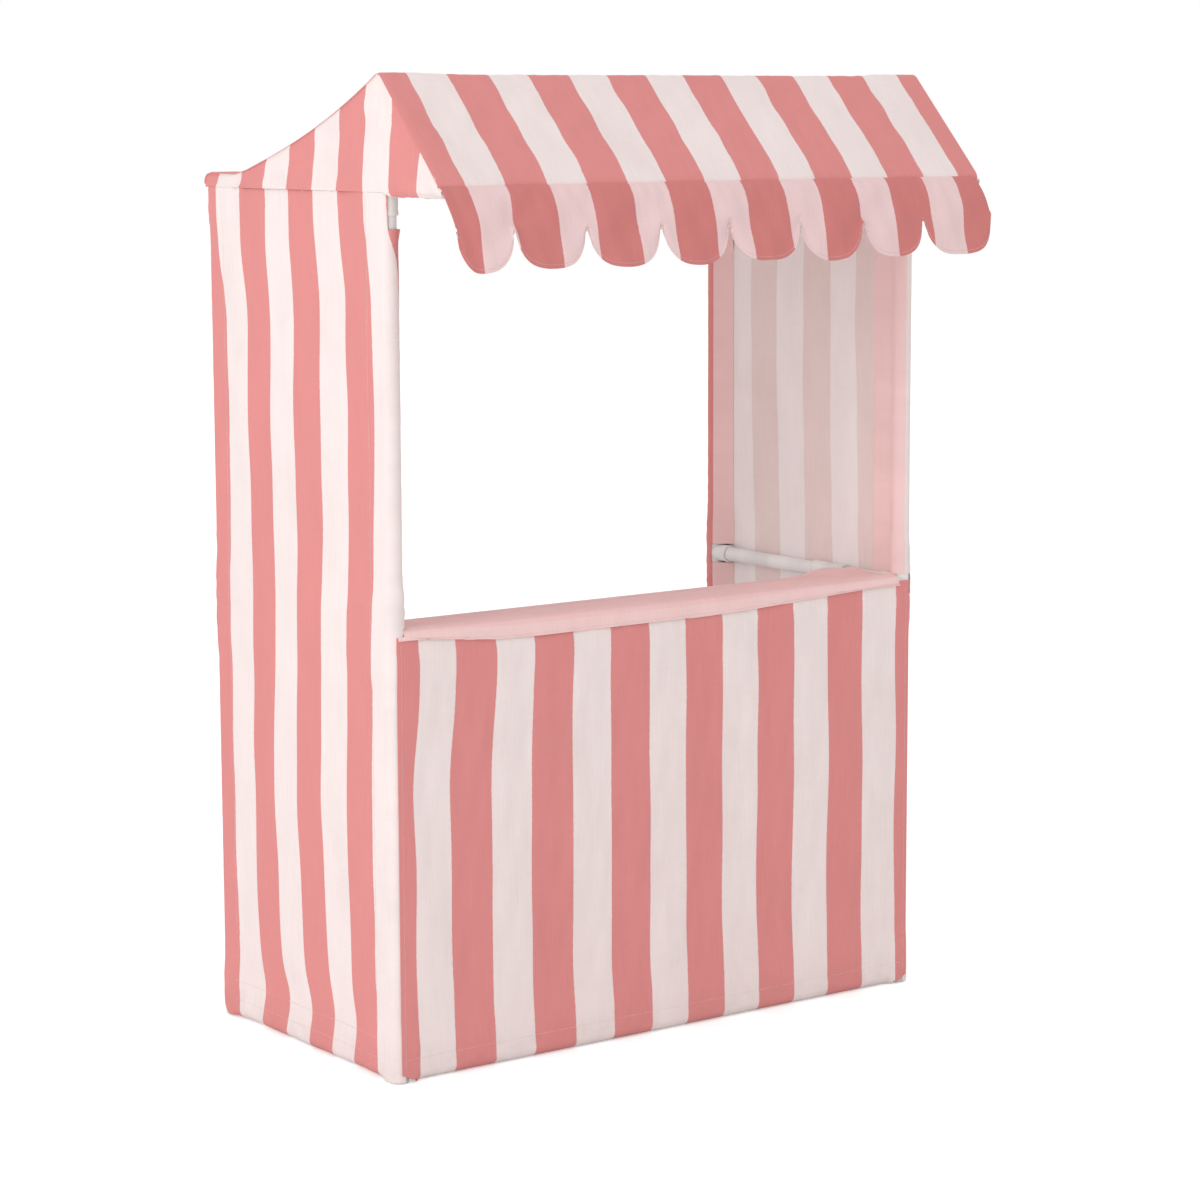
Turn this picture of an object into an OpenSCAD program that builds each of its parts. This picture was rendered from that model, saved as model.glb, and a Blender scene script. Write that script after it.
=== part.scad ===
// Children's play stall: striped cloth covers over a frame of push-fit tubes.
// Front is -Y, the open back is +Y and the floor is z = 0.
// The origin is the bottom centre of the whole stall, valance included.

/* [Frame] */
// Distance between the centres of the left and right posts
post_gap_x = 836; // [600:1:1200]
// Distance between the centres of the front and back posts
post_gap_y = 416; // [300:1:700]
// Height of the centre of the front counter bar and the side bars
counter_z = 570; // [400:1:800]
// Height of the centre of the eave rails and the awning bar
eave_z = 1130; // [950:1:1500]
// Height of the centre of the ridge bar above the eave rails
ridge_rise = 125; // [90:1:300]

/* [Tubes and connectors] */
// Outside diameter of every tube
tube_d = 20; // [16:0.5:25]
// Wall of a connector's socket
socket_wall = 2; // [1.5:0.1:4]
// Length of a connector's arm from the joint's centre to its mouth
arm_l = 34; // [26:1:40]
// Distance from the joint's centre to the stop where a tube ends
stop_l = 13; // [10:1:16]
// Length of the raised rim at a socket's mouth
rim_l = 4; // [2:0.5:8]
// Height of that rim above the connector
rim_h = 0.5; // [0.2:0.1:1]
// Gap between pieces that fit or lie against each other
fit_gap = 0.3; // [0.2:0.05:0.5]

/* [Counter] */
// Distance from the front counter bar to the back counter bar
counter_d = 150; // [110:1:220]
// Drop of the back counter bar below the side bars that carry it
back_bar_drop = 16; // [4:1:20]
// Drop of the counter cover's lip below the front bar's centre
lip_drop = 4; // [0:0.5:9]

/* [Awning] */
// Distance from the front posts forward to the awning bar
awning_reach = 120; // [90:1:250]
// Number of scallops along the valance
scallops = 8; // [5:1:12]
// Drop of the valance to the points between its scallops
cusp_drop = 60; // [20:1:90]
// Depth of a scallop below those points
scallop_d = 46; // [20:1:50]
// Angle at which the valance stands forward of plumb
valance_flare = 15; // [0:1:25]
// Seam allowance of the valance above the bar's front
valance_seam = 6; // [2:0.5:8]

/* [Cloth] */
// Thickness of a cloth cover
cloth_t = 1.5; // [1:0.1:2]
// Bare stretch of post between the eave rail and the top of a sleeve
bare_post = 45; // [30:1:120]
// Distance of the side seam below the eave rail's centre
seam_drop = 6; // [0:1:12]
// Level stretch of the roof's back slope, in front of the back posts
level_back = 80; // [20:1:150]
// Drop of the roof's back hem below the back rail's centre
hem_drop = 20; // [5:1:25]

/* [Hidden] */
$fn = 64;

// Colours
white_tube = [0.86, 0.84, 0.80];
white_plastic = [0.95, 0.95, 0.94];
rose = [0.83, 0.51, 0.49];
blush = [0.93, 0.80, 0.79];
plain_pink = [0.89, 0.73, 0.72];

// Radii, from the tube outwards
tube_r = tube_d / 2;
bore_r = tube_r + fit_gap;
body_r = bore_r + socket_wall - fit_gap;
rim_r = body_r + rim_h;
cloth_in = rim_r + fit_gap;
cloth_out = cloth_in + cloth_t;

// Distance from a post's centre at which cloth round another tube ends
corner_clear = cloth_out + 2 * fit_gap;

// Outline of the valance: scallops that are arcs through the points between them
roof_w = post_gap_x + 2 * cloth_out;
scallop_half = roof_w / scallops / 2;
scallop_r = (scallop_half * scallop_half + scallop_d * scallop_d) / (2 * scallop_d);
valance_drop = cusp_drop + scallop_d;
valance_in = cloth_out + fit_gap;

// Planes of the posts and bars
front_reach = awning_reach + (valance_in + cloth_t) * cos(valance_flare) + valance_drop * sin(valance_flare);
depth = front_reach + post_gap_y + cloth_out;
post_x = post_gap_x / 2;
front_y = front_reach - depth / 2;
back_y = front_y + post_gap_y;
tee_y = front_y + counter_d;
back_bar_z = counter_z - back_bar_drop;
knee_y = back_y - level_back;
awning_y = front_y - awning_reach;
base_z = cloth_out;
ridge_z = eave_z + ridge_rise;
seam_z = eave_z - seam_drop;

// Slopes of the counter cover and the roof
counter_tilt = atan2(back_bar_drop, counter_d);
back_tilt = atan2(ridge_rise, post_gap_y - level_back);
front_tilt = atan2(ridge_rise, awning_reach);

// Ways that a tube or an arm can run from a joint's centre
UP = [0, 0, 0];
DOWN = [180, 0, 0];
TO_BACK = [-90, 0, 0];
TO_FRONT = [90, 0, 0];
TO_RIGHT = [0, 90, 0];
TO_LEFT = [0, -90, 0];
LEFT = -1;
RIGHT = 1;

// ---------------------------------------------------------------- tubes

// A tube between two joints, from the stop in one socket to the stop in the other
module tube(joint, way, span) {
    seat = stop_l + fit_gap;
    color(white_tube)
        translate(joint)
            rotate(way)
                translate([0, 0, seat])
                    cylinder(r = tube_r, h = span - 2 * seat);
}

module leg(side, y) {
    tube([side * post_x, y, base_z], UP, counter_z - base_z);
}

module post(side, y) {
    tube([side * post_x, y, counter_z], UP, eave_z - counter_z);
}

module side_rail(side, z) {
    tube([side * post_x, front_y, z], TO_BACK, post_gap_y);
}

module cross_bar(y, z) {
    tube([-post_x, y, z], TO_RIGHT, post_gap_x);
}

module leg_front_left() { leg(LEFT, front_y); }
module leg_front_right() { leg(RIGHT, front_y); }
module leg_back_left() { leg(LEFT, back_y); }
module leg_back_right() { leg(RIGHT, back_y); }
module post_front_left() { post(LEFT, front_y); }
module post_front_right() { post(RIGHT, front_y); }
module post_back_left() { post(LEFT, back_y); }
module post_back_right() { post(RIGHT, back_y); }
module ridge_post_left() { tube([-post_x, front_y, eave_z], UP, ridge_rise); }
module ridge_post_right() { tube([post_x, front_y, eave_z], UP, ridge_rise); }
module base_rail_front() { cross_bar(front_y, base_z); }
module base_rail_left() { side_rail(LEFT, base_z); }
module base_rail_right() { side_rail(RIGHT, base_z); }
module side_bar_left() { side_rail(LEFT, counter_z); }
module side_bar_right() { side_rail(RIGHT, counter_z); }
module counter_bar_front() { cross_bar(front_y, counter_z); }
module counter_bar_back() { cross_bar(tee_y, back_bar_z); }
module eave_rail_back() { cross_bar(back_y, eave_z); }
module eave_rail_left() { side_rail(LEFT, eave_z); }
module eave_rail_right() { side_rail(RIGHT, eave_z); }
module awning_arm_left() { tube([-post_x, front_y, eave_z], TO_FRONT, awning_reach); }
module awning_arm_right() { tube([post_x, front_y, eave_z], TO_FRONT, awning_reach); }
module awning_bar() { cross_bar(awning_y, eave_z); }
module ridge_bar() { cross_bar(front_y, ridge_z); }

// ----------------------------------------------------------- connectors

// The same connector on the right, as drawn, and mirrored on the left
module both_sides() {
    children();
    mirror([1, 0, 0])
        children();
}

module arm() {
    cylinder(r = body_r, h = arm_l);
    translate([0, 0, arm_l - rim_l])
        cylinder(r = rim_r, h = rim_l);
}

// A pair of moulded connectors with a socket along each of the given ways.
// A foot carries the joint down to the floor from the height given.
module connectors(y, z, ways, foot = 0) {
    color(white_plastic)
        both_sides()
            translate([post_x, y, z])
                difference() {
                    union() {
                        // The elbow's ball, turned to stand midway between the sockets
                        rotate([0, 0, 45])
                            sphere(r = body_r);
                        for (way = ways)
                            rotate(way)
                                arm();
                        translate([0, 0, -foot])
                            cylinder(r = body_r, h = foot);
                    }
                    for (way = ways)
                        rotate(way)
                            translate([0, 0, stop_l])
                                cylinder(r = bore_r, h = arm_l);
                }
}

module base_corners_front() { connectors(front_y, base_z, [UP, TO_BACK, TO_LEFT], base_z); }
module base_corners_back() { connectors(back_y, base_z, [UP, TO_FRONT], base_z); }
module counter_joints_front() { connectors(front_y, counter_z, [UP, DOWN, TO_BACK, TO_LEFT]); }
module counter_joints_back() { connectors(back_y, counter_z, [UP, DOWN, TO_FRONT]); }
module eave_joints_front() { connectors(front_y, eave_z, [UP, DOWN, TO_BACK, TO_FRONT]); }
module eave_corners_back() { connectors(back_y, eave_z, [DOWN, TO_FRONT, TO_LEFT]); }
module awning_corners() { connectors(awning_y, eave_z, [TO_BACK, TO_LEFT]); }
module ridge_corners() { connectors(front_y, ridge_z, [DOWN, TO_LEFT]); }

// Tees that slide along the side bars and carry the back counter bar below them
module counter_tees() {
    color(white_plastic)
        both_sides()
            translate([post_x, tee_y, counter_z])
                difference() {
                    union() {
                        for (way = [TO_FRONT, TO_BACK])
                            rotate(way)
                                arm();
                        translate([0, 0, -back_bar_drop]) {
                            cylinder(r = body_r, h = back_bar_drop);
                            sphere(r = body_r);
                            rotate(TO_LEFT)
                                arm();
                        }
                    }
                    rotate(TO_FRONT)
                        cylinder(r = bore_r, h = 3 * arm_l, center = true);
                    translate([0, 0, -back_bar_drop])
                        rotate(TO_LEFT)
                            translate([0, 0, stop_l])
                                cylinder(r = bore_r, h = arm_l);
                }
}

// ---------------------------------------------------------------- cloth

// A tunnel of cloth round a tube, along the way given
module sleeve(joint, way, from, to) {
    translate(joint)
        rotate(way)
            translate([0, 0, from])
                difference() {
                    cylinder(r = cloth_out, h = to - from);
                    translate([0, 0, -1])
                        cylinder(r = cloth_in, h = to - from + 2);
                }
}

// Points round a bar that runs across the stall, seen from the side, between
// two angles in front of straight up
function arc(centre, r, from, to, steps = 8) = [
    for (i = [0 : steps])
        let (a = from + (to - from) * i / steps)
            centre + r * [-sin(a), cos(a)]
];

// Where the back slope turns level, at a distance outside the rails' centres
function knee(r) = [knee_y + r * tan(back_tilt / 2), eave_z + r];

function reverse(points) = [for (i = [len(points) - 1 : -1 : 0]) points[i]];

// A sheet across the stall between its two faces, each a line seen from the side
module folded_sheet(outer, inner, width) {
    translate([-width / 2, 0, 0])
        rotate([90, 0, 90])
            linear_extrude(width)
                polygon(concat(outer, reverse(inner)));
}

// The right side panel: a wall with a sleeve round each post and a hem
// round the base rail
module side_wall() {
    translate([post_x + cloth_in, front_y, base_z])
        cube([cloth_t, post_gap_y, seam_z - base_z]);
    for (y = [front_y, back_y]) {
        sleeve([post_x, y, base_z], UP, corner_clear, counter_z - base_z - corner_clear);
        sleeve([post_x, y, counter_z], UP, corner_clear, eave_z - counter_z - bare_post);
    }
    sleeve([post_x, front_y, base_z], TO_BACK, corner_clear, post_gap_y - corner_clear);
}

module side_panel_right() {
    color(rose)
        side_wall();
}

module side_panel_left() {
    color(rose)
        mirror([1, 0, 0])
            side_wall();
}

// The right gable: a rounded triangle under the roof, cut level at the seam
module gable_wall() {
    inset_r = cloth_in - fit_gap;
    level = acos((fit_gap - seam_drop) / inset_r);
    outline = concat(
        arc([awning_y, eave_z], inset_r, level, front_tilt),
        arc([front_y, ridge_z], inset_r, front_tilt, -back_tilt),
        [knee(inset_r)],
        arc([back_y, eave_z], inset_r, 0, -level)
    );
    translate([post_x + cloth_in, 0, 0])
        rotate([90, 0, 90])
            linear_extrude(cloth_t)
                polygon(outline);
}

module gable_right() {
    color(rose)
        gable_wall();
}

module gable_left() {
    color(rose)
        mirror([1, 0, 0])
            gable_wall();
}

// The front panel: a sheet from the counter's lip to a hem round the front rail
module front_panel() {
    sleeve_edge = sqrt(cloth_out * cloth_out - rim_r * rim_r) + fit_gap;
    half_w = post_x - sleeve_edge;
    color(rose) {
        translate([-half_w, front_y - cloth_out, base_z])
            cube([2 * half_w, cloth_t, counter_z - lip_drop - fit_gap - base_z]);
        sleeve([-post_x, front_y, base_z], TO_RIGHT, corner_clear, post_gap_x - corner_clear);
    }
}

// The counter cover: cloth stretched from the front bar down to the lower back
// bar, with a lip in front and a hem at the back
function counter_line(r) = concat(
    [[front_y - r, counter_z - lip_drop]],
    arc([front_y, counter_z], r, 90, -counter_tilt),
    arc([tee_y, back_bar_z], r, -counter_tilt, -180, 16)
);

module counter_cover() {
    color(plain_pink)
        folded_sheet(counter_line(cloth_out), counter_line(cloth_in), post_gap_x - 2 * corner_clear);
}

// The back slope of the roof: the fold over the ridge, the slope down to the
// side rails, a level stretch along them and the back hem
function roof_back_line(r) = concat(
    arc([front_y, ridge_z], r, front_tilt, -back_tilt),
    [knee(r)],
    arc([back_y, eave_z], r, 0, -90),
    [[back_y + r, eave_z - hem_drop]]
);

module roof_back() {
    color(blush)
        folded_sheet(roof_back_line(cloth_out), roof_back_line(cloth_in), roof_w);
}

// The front slope of the roof, from the ridge's fold to the front of the awning bar
function roof_front_line(r) = concat(
    [[front_y, ridge_z] + r * [-sin(front_tilt), cos(front_tilt)]
        - fit_gap * [cos(front_tilt), sin(front_tilt)]],
    arc([awning_y, eave_z], r, front_tilt, 90)
);

module roof_front() {
    color(blush)
        folded_sheet(roof_front_line(cloth_out), roof_front_line(cloth_in), roof_w);
}

// A strip across the stall with arcs of circles below it, cut off at its ends and top
module scalloped_strip() {
    intersection() {
        translate([-roof_w / 2, -valance_drop])
            square([roof_w, valance_drop + valance_seam]);
        union() {
            translate([-roof_w / 2 - 1, -cusp_drop])
                square([roof_w + 2, cusp_drop + valance_seam + 1]);
            for (i = [0 : scallops - 1])
                translate([(2 * i + 1) * scallop_half - roof_w / 2, scallop_r - valance_drop])
                    circle(r = scallop_r);
        }
    }
}

// The valance: a row of scallops hung from the awning bar
module valance() {
    color(rose)
        translate([0, awning_y, eave_z])
            rotate([90 - valance_flare, 0, 0])
                translate([0, 0, valance_in])
                    linear_extrude(cloth_t)
                        scalloped_strip();
}

leg_front_left();
leg_front_right();
leg_back_left();
leg_back_right();
post_front_left();
post_front_right();
post_back_left();
post_back_right();
ridge_post_left();
ridge_post_right();
base_rail_front();
base_rail_left();
base_rail_right();
side_bar_left();
side_bar_right();
counter_bar_front();
counter_bar_back();
eave_rail_back();
eave_rail_left();
eave_rail_right();
awning_arm_left();
awning_arm_right();
awning_bar();
ridge_bar();
base_corners_front();
base_corners_back();
counter_joints_front();
counter_joints_back();
counter_tees();
eave_joints_front();
eave_corners_back();
awning_corners();
ridge_corners();
side_panel_left();
side_panel_right();
gable_left();
gable_right();
front_panel();
counter_cover();
roof_back();
roof_front();
valance();
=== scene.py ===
"""A children's play market stall: striped cloth covers over a frame of push-fit tubes.

The tubes and connectors are the fixed frame's own nodes, and get a finish here. Each
cloth cover is cut as a flat grid of cloth, folded round the tubes that hold it,
creased, printed and stitched, and the plain solids that it replaces are hidden.
Lengths are in metres. Front is -Y, +X is to the right and the floor is z = 0.
"""

import logging
import math
from dataclasses import dataclass
from enum import Enum
from typing import Sequence

import bpy
import numpy as np
from mathutils import Matrix, Vector


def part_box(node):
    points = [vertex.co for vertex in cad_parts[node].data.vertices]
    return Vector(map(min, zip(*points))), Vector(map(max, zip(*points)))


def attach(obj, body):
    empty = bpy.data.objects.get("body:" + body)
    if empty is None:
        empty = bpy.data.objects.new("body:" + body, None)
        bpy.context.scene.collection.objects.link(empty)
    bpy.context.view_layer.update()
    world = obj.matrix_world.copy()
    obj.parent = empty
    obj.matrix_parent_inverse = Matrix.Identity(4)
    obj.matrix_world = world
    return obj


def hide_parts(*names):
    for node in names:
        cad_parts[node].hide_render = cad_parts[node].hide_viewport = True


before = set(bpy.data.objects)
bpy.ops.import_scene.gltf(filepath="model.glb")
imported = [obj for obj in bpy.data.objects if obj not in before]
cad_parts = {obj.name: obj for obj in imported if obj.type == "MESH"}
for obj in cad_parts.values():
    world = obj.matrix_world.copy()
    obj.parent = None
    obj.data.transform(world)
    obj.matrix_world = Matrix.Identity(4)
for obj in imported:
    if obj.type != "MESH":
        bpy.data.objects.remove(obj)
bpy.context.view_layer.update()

log = logging.getLogger("play_stall")

MM = 0.001
# Width of one stripe in the print's map; each cover scales its own print to it.
STRIPE_W = 0.0608
# Step at which a folded cloth is sampled to find which way it faces.
PROBE = 0.0004
# Room between two plies of a hem, and between a flap and the ply that lies over it.
PLY_GAP = 0.2 * MM
FLAP_GAP = 0.4 * MM
# Step between the points of a row of stitches, and how wide a furrow such a row draws.
STITCH_STEP = 6 * MM
FURROW = 0.0016

Array = np.ndarray
Point = tuple[float, float]
Place = tuple[float, float, float]
Colour = tuple[int, int, int]
Socket = bpy.types.NodeSocket


class Side(Enum):
    """The left or the right of the stall, as a sign along X."""

    LEFT = -1
    RIGHT = 1


class Hold(Enum):
    STRETCHED = "stretched"
    HUNG = "hung"


# ------------------------------------------------------------------ the frame's sizes


def middle(node: str) -> Vector:
    """The middle of a node of the fixed frame."""
    low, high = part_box(node)
    return (low + high) / 2


@dataclass(frozen=True)
class Stall:
    """Planes and radii of the frame that the covers are fitted to."""

    post_x: float
    front_y: float
    back_y: float
    awning_y: float
    tee_y: float
    base_z: float
    counter_z: float
    back_bar_z: float
    eave_z: float
    ridge_z: float
    seam_z: float
    half_w: float
    level_back: float = 0.080
    wrap_r: float = 0.0138

    @classmethod
    def measured(cls) -> "Stall":
        """Reads the planes off the fixed frame's tubes.

        Returns:
            The stall's sizes, in metres.
        """
        return cls(
            post_x=middle("leg_front_right").x,
            front_y=middle("leg_front_right").y,
            back_y=middle("leg_back_right").y,
            awning_y=middle("awning_bar").y,
            tee_y=middle("counter_bar_back").y,
            base_z=middle("base_rail_front").z,
            counter_z=middle("counter_bar_front").z,
            back_bar_z=middle("counter_bar_back").z,
            eave_z=middle("awning_bar").z,
            ridge_z=middle("ridge_bar").z,
            seam_z=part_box("side_panel_right")[1].z,
            half_w=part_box("roof_back")[1].x,
        )


# ------------------------------------------------------------------- cloth mathematics


def smooth(x: Array, start: float, end: float) -> Array:
    """A smooth step from 0 at start to 1 at end.

    Args:
        x: where to read it.
        start: where it leaves 0.
        end: where it reaches 1, which may be below start.

    Returns:
        Values from 0 to 1.
    """
    t = np.clip((x - start) / (end - start), 0, 1)
    return t * t * (3 - 2 * t)


def bump(x: Array, centre: float, width: float) -> Array:
    """A round hump of height 1 about a centre, with the width given."""
    return np.exp(-(((x - centre) / width) ** 2))


def ripples(
    u: Array, v: Array, across: float, along: float, height: float, seed: int, waves: int = 9
) -> Array:
    """Soft, irregular folds with a typical length each way of the cloth.

    Args:
        u: places across the cloth.
        v: places along it.
        across: typical length of a fold along u.
        along: typical length of a fold along v.
        height: root mean square height of the folds.
        seed: fixes the folds.
        waves: how many plain waves are added up.

    Returns:
        Heights, in the cloth's own shape.
    """
    dice = np.random.default_rng(seed)
    total = np.zeros(np.broadcast(u, v).shape)
    for _ in range(waves):
        turn_u, turn_v = dice.normal(0, 1 / across), dice.normal(0, 1 / along)
        total = total + np.sin(2 * math.pi * (turn_u * u + turn_v * v + dice.random()))
    return height * total * math.sqrt(2 / waves)


@dataclass(frozen=True)
class Crease:
    """A fold that cloth pulls into, between two places of the cloth."""

    start: Point
    end: Point
    width: float
    depth: float

    def height(self, u: Array, v: Array) -> Array:
        """The crease's height: a ridge with a valley on one side of it.

        Args:
            u: places across the cloth.
            v: places along it.

        Returns:
            Heights, positive outwards.
        """
        du, dv = self.end[0] - self.start[0], self.end[1] - self.start[1]
        length = math.hypot(du, dv)
        du, dv = du / length, dv / length
        walk = (u - self.start[0]) * du + (v - self.start[1]) * dv
        aside = (u - self.start[0]) * dv - (v - self.start[1]) * du
        fade = smooth(walk, -0.1 * length, 0.3 * length) * smooth(walk, 1.15 * length, 0.6 * length)
        ridge = bump(aside, 0.0, self.width)
        valley = bump(aside, 1.7 * self.width, self.width)
        return self.depth * fade * (ridge - 0.7 * valley)


class Path:
    """A line in a plane that cloth follows, walked by its length."""

    def __init__(self, points: Sequence[Point]) -> None:
        """Joins the points up.

        Args:
            points: places in the plane, in order.
        """
        self.points = np.array(points, float)
        steps = np.hypot(*np.diff(self.points, axis=0).T)
        self.lengths = np.concatenate([[0.0], np.cumsum(steps)])

    @property
    def length(self) -> float:
        """The whole length of the line."""
        return float(self.lengths[-1])

    def at(self, s: Array) -> tuple[Array, Array]:
        """The two coordinates at a length along the line."""
        return (
            np.interp(s, self.lengths, self.points[:, 0]),
            np.interp(s, self.lengths, self.points[:, 1]),
        )

    def left(self, s: Array) -> tuple[Array, Array]:
        """The way that the left of the line faces at a length along it."""
        reach = 1.5 * MM
        s = np.clip(s, reach, self.length - reach)
        a0, b0 = self.at(s - reach)
        a1, b1 = self.at(s + reach)
        size = np.hypot(a1 - a0, b1 - b0)
        return (b0 - b1) / size, (a1 - a0) / size

    def stations(self, step: float, extra: Sequence[float] = ()) -> Array:
        """Lengths at which threads are laid, no further apart than a step.

        Args:
            step: the largest gap between threads.
            extra: lengths that must have a thread.

        Returns:
            Sorted lengths, the line's own corners among them.
        """
        marks = np.unique(np.round(np.concatenate([self.lengths, np.array(extra, float)]), 6))
        marks = marks[(marks >= 0) & (marks <= self.length + 1e-9)]
        marks = marks[np.concatenate([[True], np.diff(marks) > 0.4 * MM])]
        return spread(marks, step)


def spread(marks: Array, step: float) -> Array:
    """Fills the gaps between marks with evenly spaced ones, no further apart than a step."""
    parts = [
        np.linspace(a, b, max(1, math.ceil((b - a) / step - 1e-6)), endpoint=False)
        for a, b in zip(marks[:-1], marks[1:])
    ]
    return np.concatenate([*parts, [marks[-1]]])


def arc(centre: Point, radius: float, start: float, end: float) -> list[Point]:
    """Points on an arc of a circle, about 9 degrees apart.

    Args:
        centre: the circle's centre.
        radius: its radius.
        start: angle of the first point in degrees, anticlockwise from the first axis.
        end: angle of the last one.

    Returns:
        The points, in order.
    """
    count = max(2, round(abs(end - start) / 9) + 1)
    return [
        (centre[0] + radius * math.cos(a), centre[1] + radius * math.sin(a))
        for a in np.radians(np.linspace(start, end, count))
    ]


def tangent_angle(radius: float, away: float, lift: float) -> float:
    """The angle at which cloth from a stitch line meets the tube that it goes round.

    Args:
        radius: the radius that the cloth goes round the tube at.
        away: distance of the stitch line from the tube's centre, along the cloth.
        lift: distance of the stitch line from the tube's centre, across the cloth.

    Returns:
        Degrees round the tube from the cloth's flat face to where it leaves the tube.
    """
    reach = math.hypot(away, lift)
    return math.degrees(math.atan2(away, lift) + math.acos(radius / reach))


def hem_line(stall: Stall, top_z: float, stitch_z: float, edge_z: float, tuck: float) -> Path:
    """The line of a panel from its top down, round a base rail and up behind as a hem.

    Args:
        stall: the frame's sizes.
        top_z: height of the panel's top edge.
        stitch_z: height of the hem's stitches.
        edge_z: height at which the hem ends.
        tuck: how far from the rail's centre the hem runs.

    Returns:
        The line, as places behind the panel's face and heights.
    """
    r = stall.wrap_r
    turn = tangent_angle(r, stitch_z - stall.base_z, tuck)
    loop = arc((r, stall.base_z), r, 180, 540 - turn)
    behind = [(r - tuck, stitch_z), (r - tuck, edge_z)]
    return Path([(0, top_z), (0, stall.base_z), *loop[1:], *behind])


# ------------------------------------------------------------------------ cloth covers


@dataclass
class Cover:
    """A cover cut from one piece of cloth: the shared way to fold, thicken and stitch it."""

    stall: Stall
    name: str = "cover"
    replaced: tuple[str, ...] = ()
    slot: str = "striped_cloth"
    hold: Hold = Hold.STRETCHED
    rests_on: tuple[str, ...] = ()
    thick: float = 0.0010
    facing: int = 1

    @property
    def tuck(self) -> float:
        """How far from a tube's centre the ply runs that lies under the cloth's own face."""
        return self.stall.wrap_r - 2 * self.thick - PLY_GAP

    def threads(self) -> tuple[Array, Array]:
        """Places across and along the cloth at which the grid has threads."""
        raise NotImplementedError

    def fold(self, u: Array, v: Array) -> Array:
        """Where the cloth lies before it is creased."""
        raise NotImplementedError

    def relief(self, u: Array, v: Array) -> Array:
        """How far creases lift the cloth from there."""
        raise NotImplementedError

    def drift(self, u: Array, v: Array) -> Array:
        """The print's place across the stripes, from the first edge of a rose stripe."""
        return u + 0 * v

    def plain(self, u: Array, v: Array) -> Array:
        """1 where the cloth is a plain strip that was sewn on, else 0."""
        return np.zeros(np.broadcast(u, v).shape)

    def kept(self, u: Array, v: Array) -> Array:
        """True on the squares, given by their middles, that the cut keeps."""
        return np.ones(np.broadcast(u, v).shape, bool)

    def drawn_in(self, u: Array, v: Array) -> Array:
        """How long the cloth is along v at a place, as a share of the grid there."""
        return np.ones(np.broadcast(u, v).shape)

    def rows(self) -> list[Array]:
        """Lines of stitches, each as places (u, v) along it."""
        return []

    def facing_way(self, place, u: Array, v: Array) -> Array:
        """The way a face of the cloth looks.

        Args:
            place: gives points from places on the cloth.
            u: places across the cloth.
            v: places along it.

        Returns:
            Unit vectors, pointing outwards.
        """
        across = place(u + PROBE, v) - place(u - PROBE, v)
        along = place(u, v + PROBE) - place(u, v - PROBE)
        way = np.cross(across, along) * self.facing
        return way / np.maximum(np.linalg.norm(way, axis=-1, keepdims=True), 1e-12)

    def outer(self, u: Array, v: Array) -> Array:
        """The cloth's outer face, creases and all."""
        lift = self.relief(u, v)[..., None]
        return self.fold(u, v) + lift * self.facing_way(self.fold, u, v)

    def build(self) -> bpy.types.Object:
        """Makes the cover as one closed mesh with a print map, and notes its flat size and cut area.

        Returns:
            The cover's object, linked to the scene.
        """
        across, along = self.threads()
        u, v = np.meshgrid(across, along, indexing="ij")
        face = self.outer(u, v)
        way = self.facing_way(self.outer, u, v)
        back = face - self.thick * way
        count = u.size
        index = np.arange(count).reshape(u.shape)
        corners = [index[:-1, :-1], index[1:, :-1], index[1:, 1:], index[:-1, 1:]]
        mid_u = (u[:-1, :-1] + u[1:, 1:]) / 2
        mid_v = (v[:-1, :-1] + v[1:, 1:]) / 2
        keep = self.kept(mid_u, mid_v)
        squares = np.stack([c[keep] for c in corners], axis=-1)
        if self.facing < 0:
            squares = squares[:, ::-1]
        rim = closed_rim(squares, count)
        faces = np.concatenate([squares, squares[:, ::-1] + count, rim])
        used = np.unique(faces)
        renumber = np.full(2 * count, -1)
        renumber[used] = np.arange(used.size)
        points = np.concatenate([face.reshape(-1, 3), back.reshape(-1, 3)])[used]
        faces = renumber[faces]
        mesh = bpy.data.meshes.new(self.name)
        mesh.from_pydata(points.tolist(), [], faces.tolist())
        mesh.polygons.foreach_set("use_smooth", np.ones(len(faces), bool))
        inside = np.zeros(len(faces), np.int32)
        inside[len(squares) : 2 * len(squares)] = 1
        mesh.polygons.foreach_set("material_index", inside)
        print_u = np.tile(self.drift(u, v).ravel(), 2)[used]
        print_v = np.tile(v.ravel(), 2)[used]
        corner_points = faces.ravel()
        layer = mesh.uv_layers.new(name="cloth")
        printed = np.stack([print_u[corner_points], print_v[corner_points]], axis=-1)
        layer.data.foreach_set("uv", printed.astype(np.float32).ravel())
        strip = mesh.attributes.new("plain", "FLOAT", "POINT")
        strip.data.foreach_set("value", np.tile(self.plain(u, v).ravel(), 2)[used].astype(np.float32))
        mesh.set_sharp_from_angle(angle=math.radians(55))
        mesh.update()
        piece = bpy.data.objects.new(self.name, mesh)
        bpy.context.scene.collection.objects.link(piece)
        du = np.abs(u[1:, :-1] - u[:-1, :-1])
        dv = np.abs(v[:-1, 1:] - v[:-1, :-1])
        self.flat = (float(np.ptp(across)), float(np.ptp(along)))
        self.area = float((du * dv * self.drawn_in(mid_u, mid_v))[keep].sum())
        return piece

    def declare(
        self, piece: bpy.types.Object, finish: "ClothPair", stitches: bpy.types.Object | None
    ) -> None:
        """Args:
            piece: the cover's object.
            finish: the cloth's outside and inside.
            stitches: the cover's stitches, if it has any.
        """
        piece.data.materials.append(finish.outside)
        piece.data.materials.append(finish.inside)
        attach(piece, "root")
        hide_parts(*self.replaced)
        if stitches is not None:
            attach(stitches, "root")
        list(self.rests_on)
        min(self.area, self.flat[0] * self.flat[1])


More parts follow.
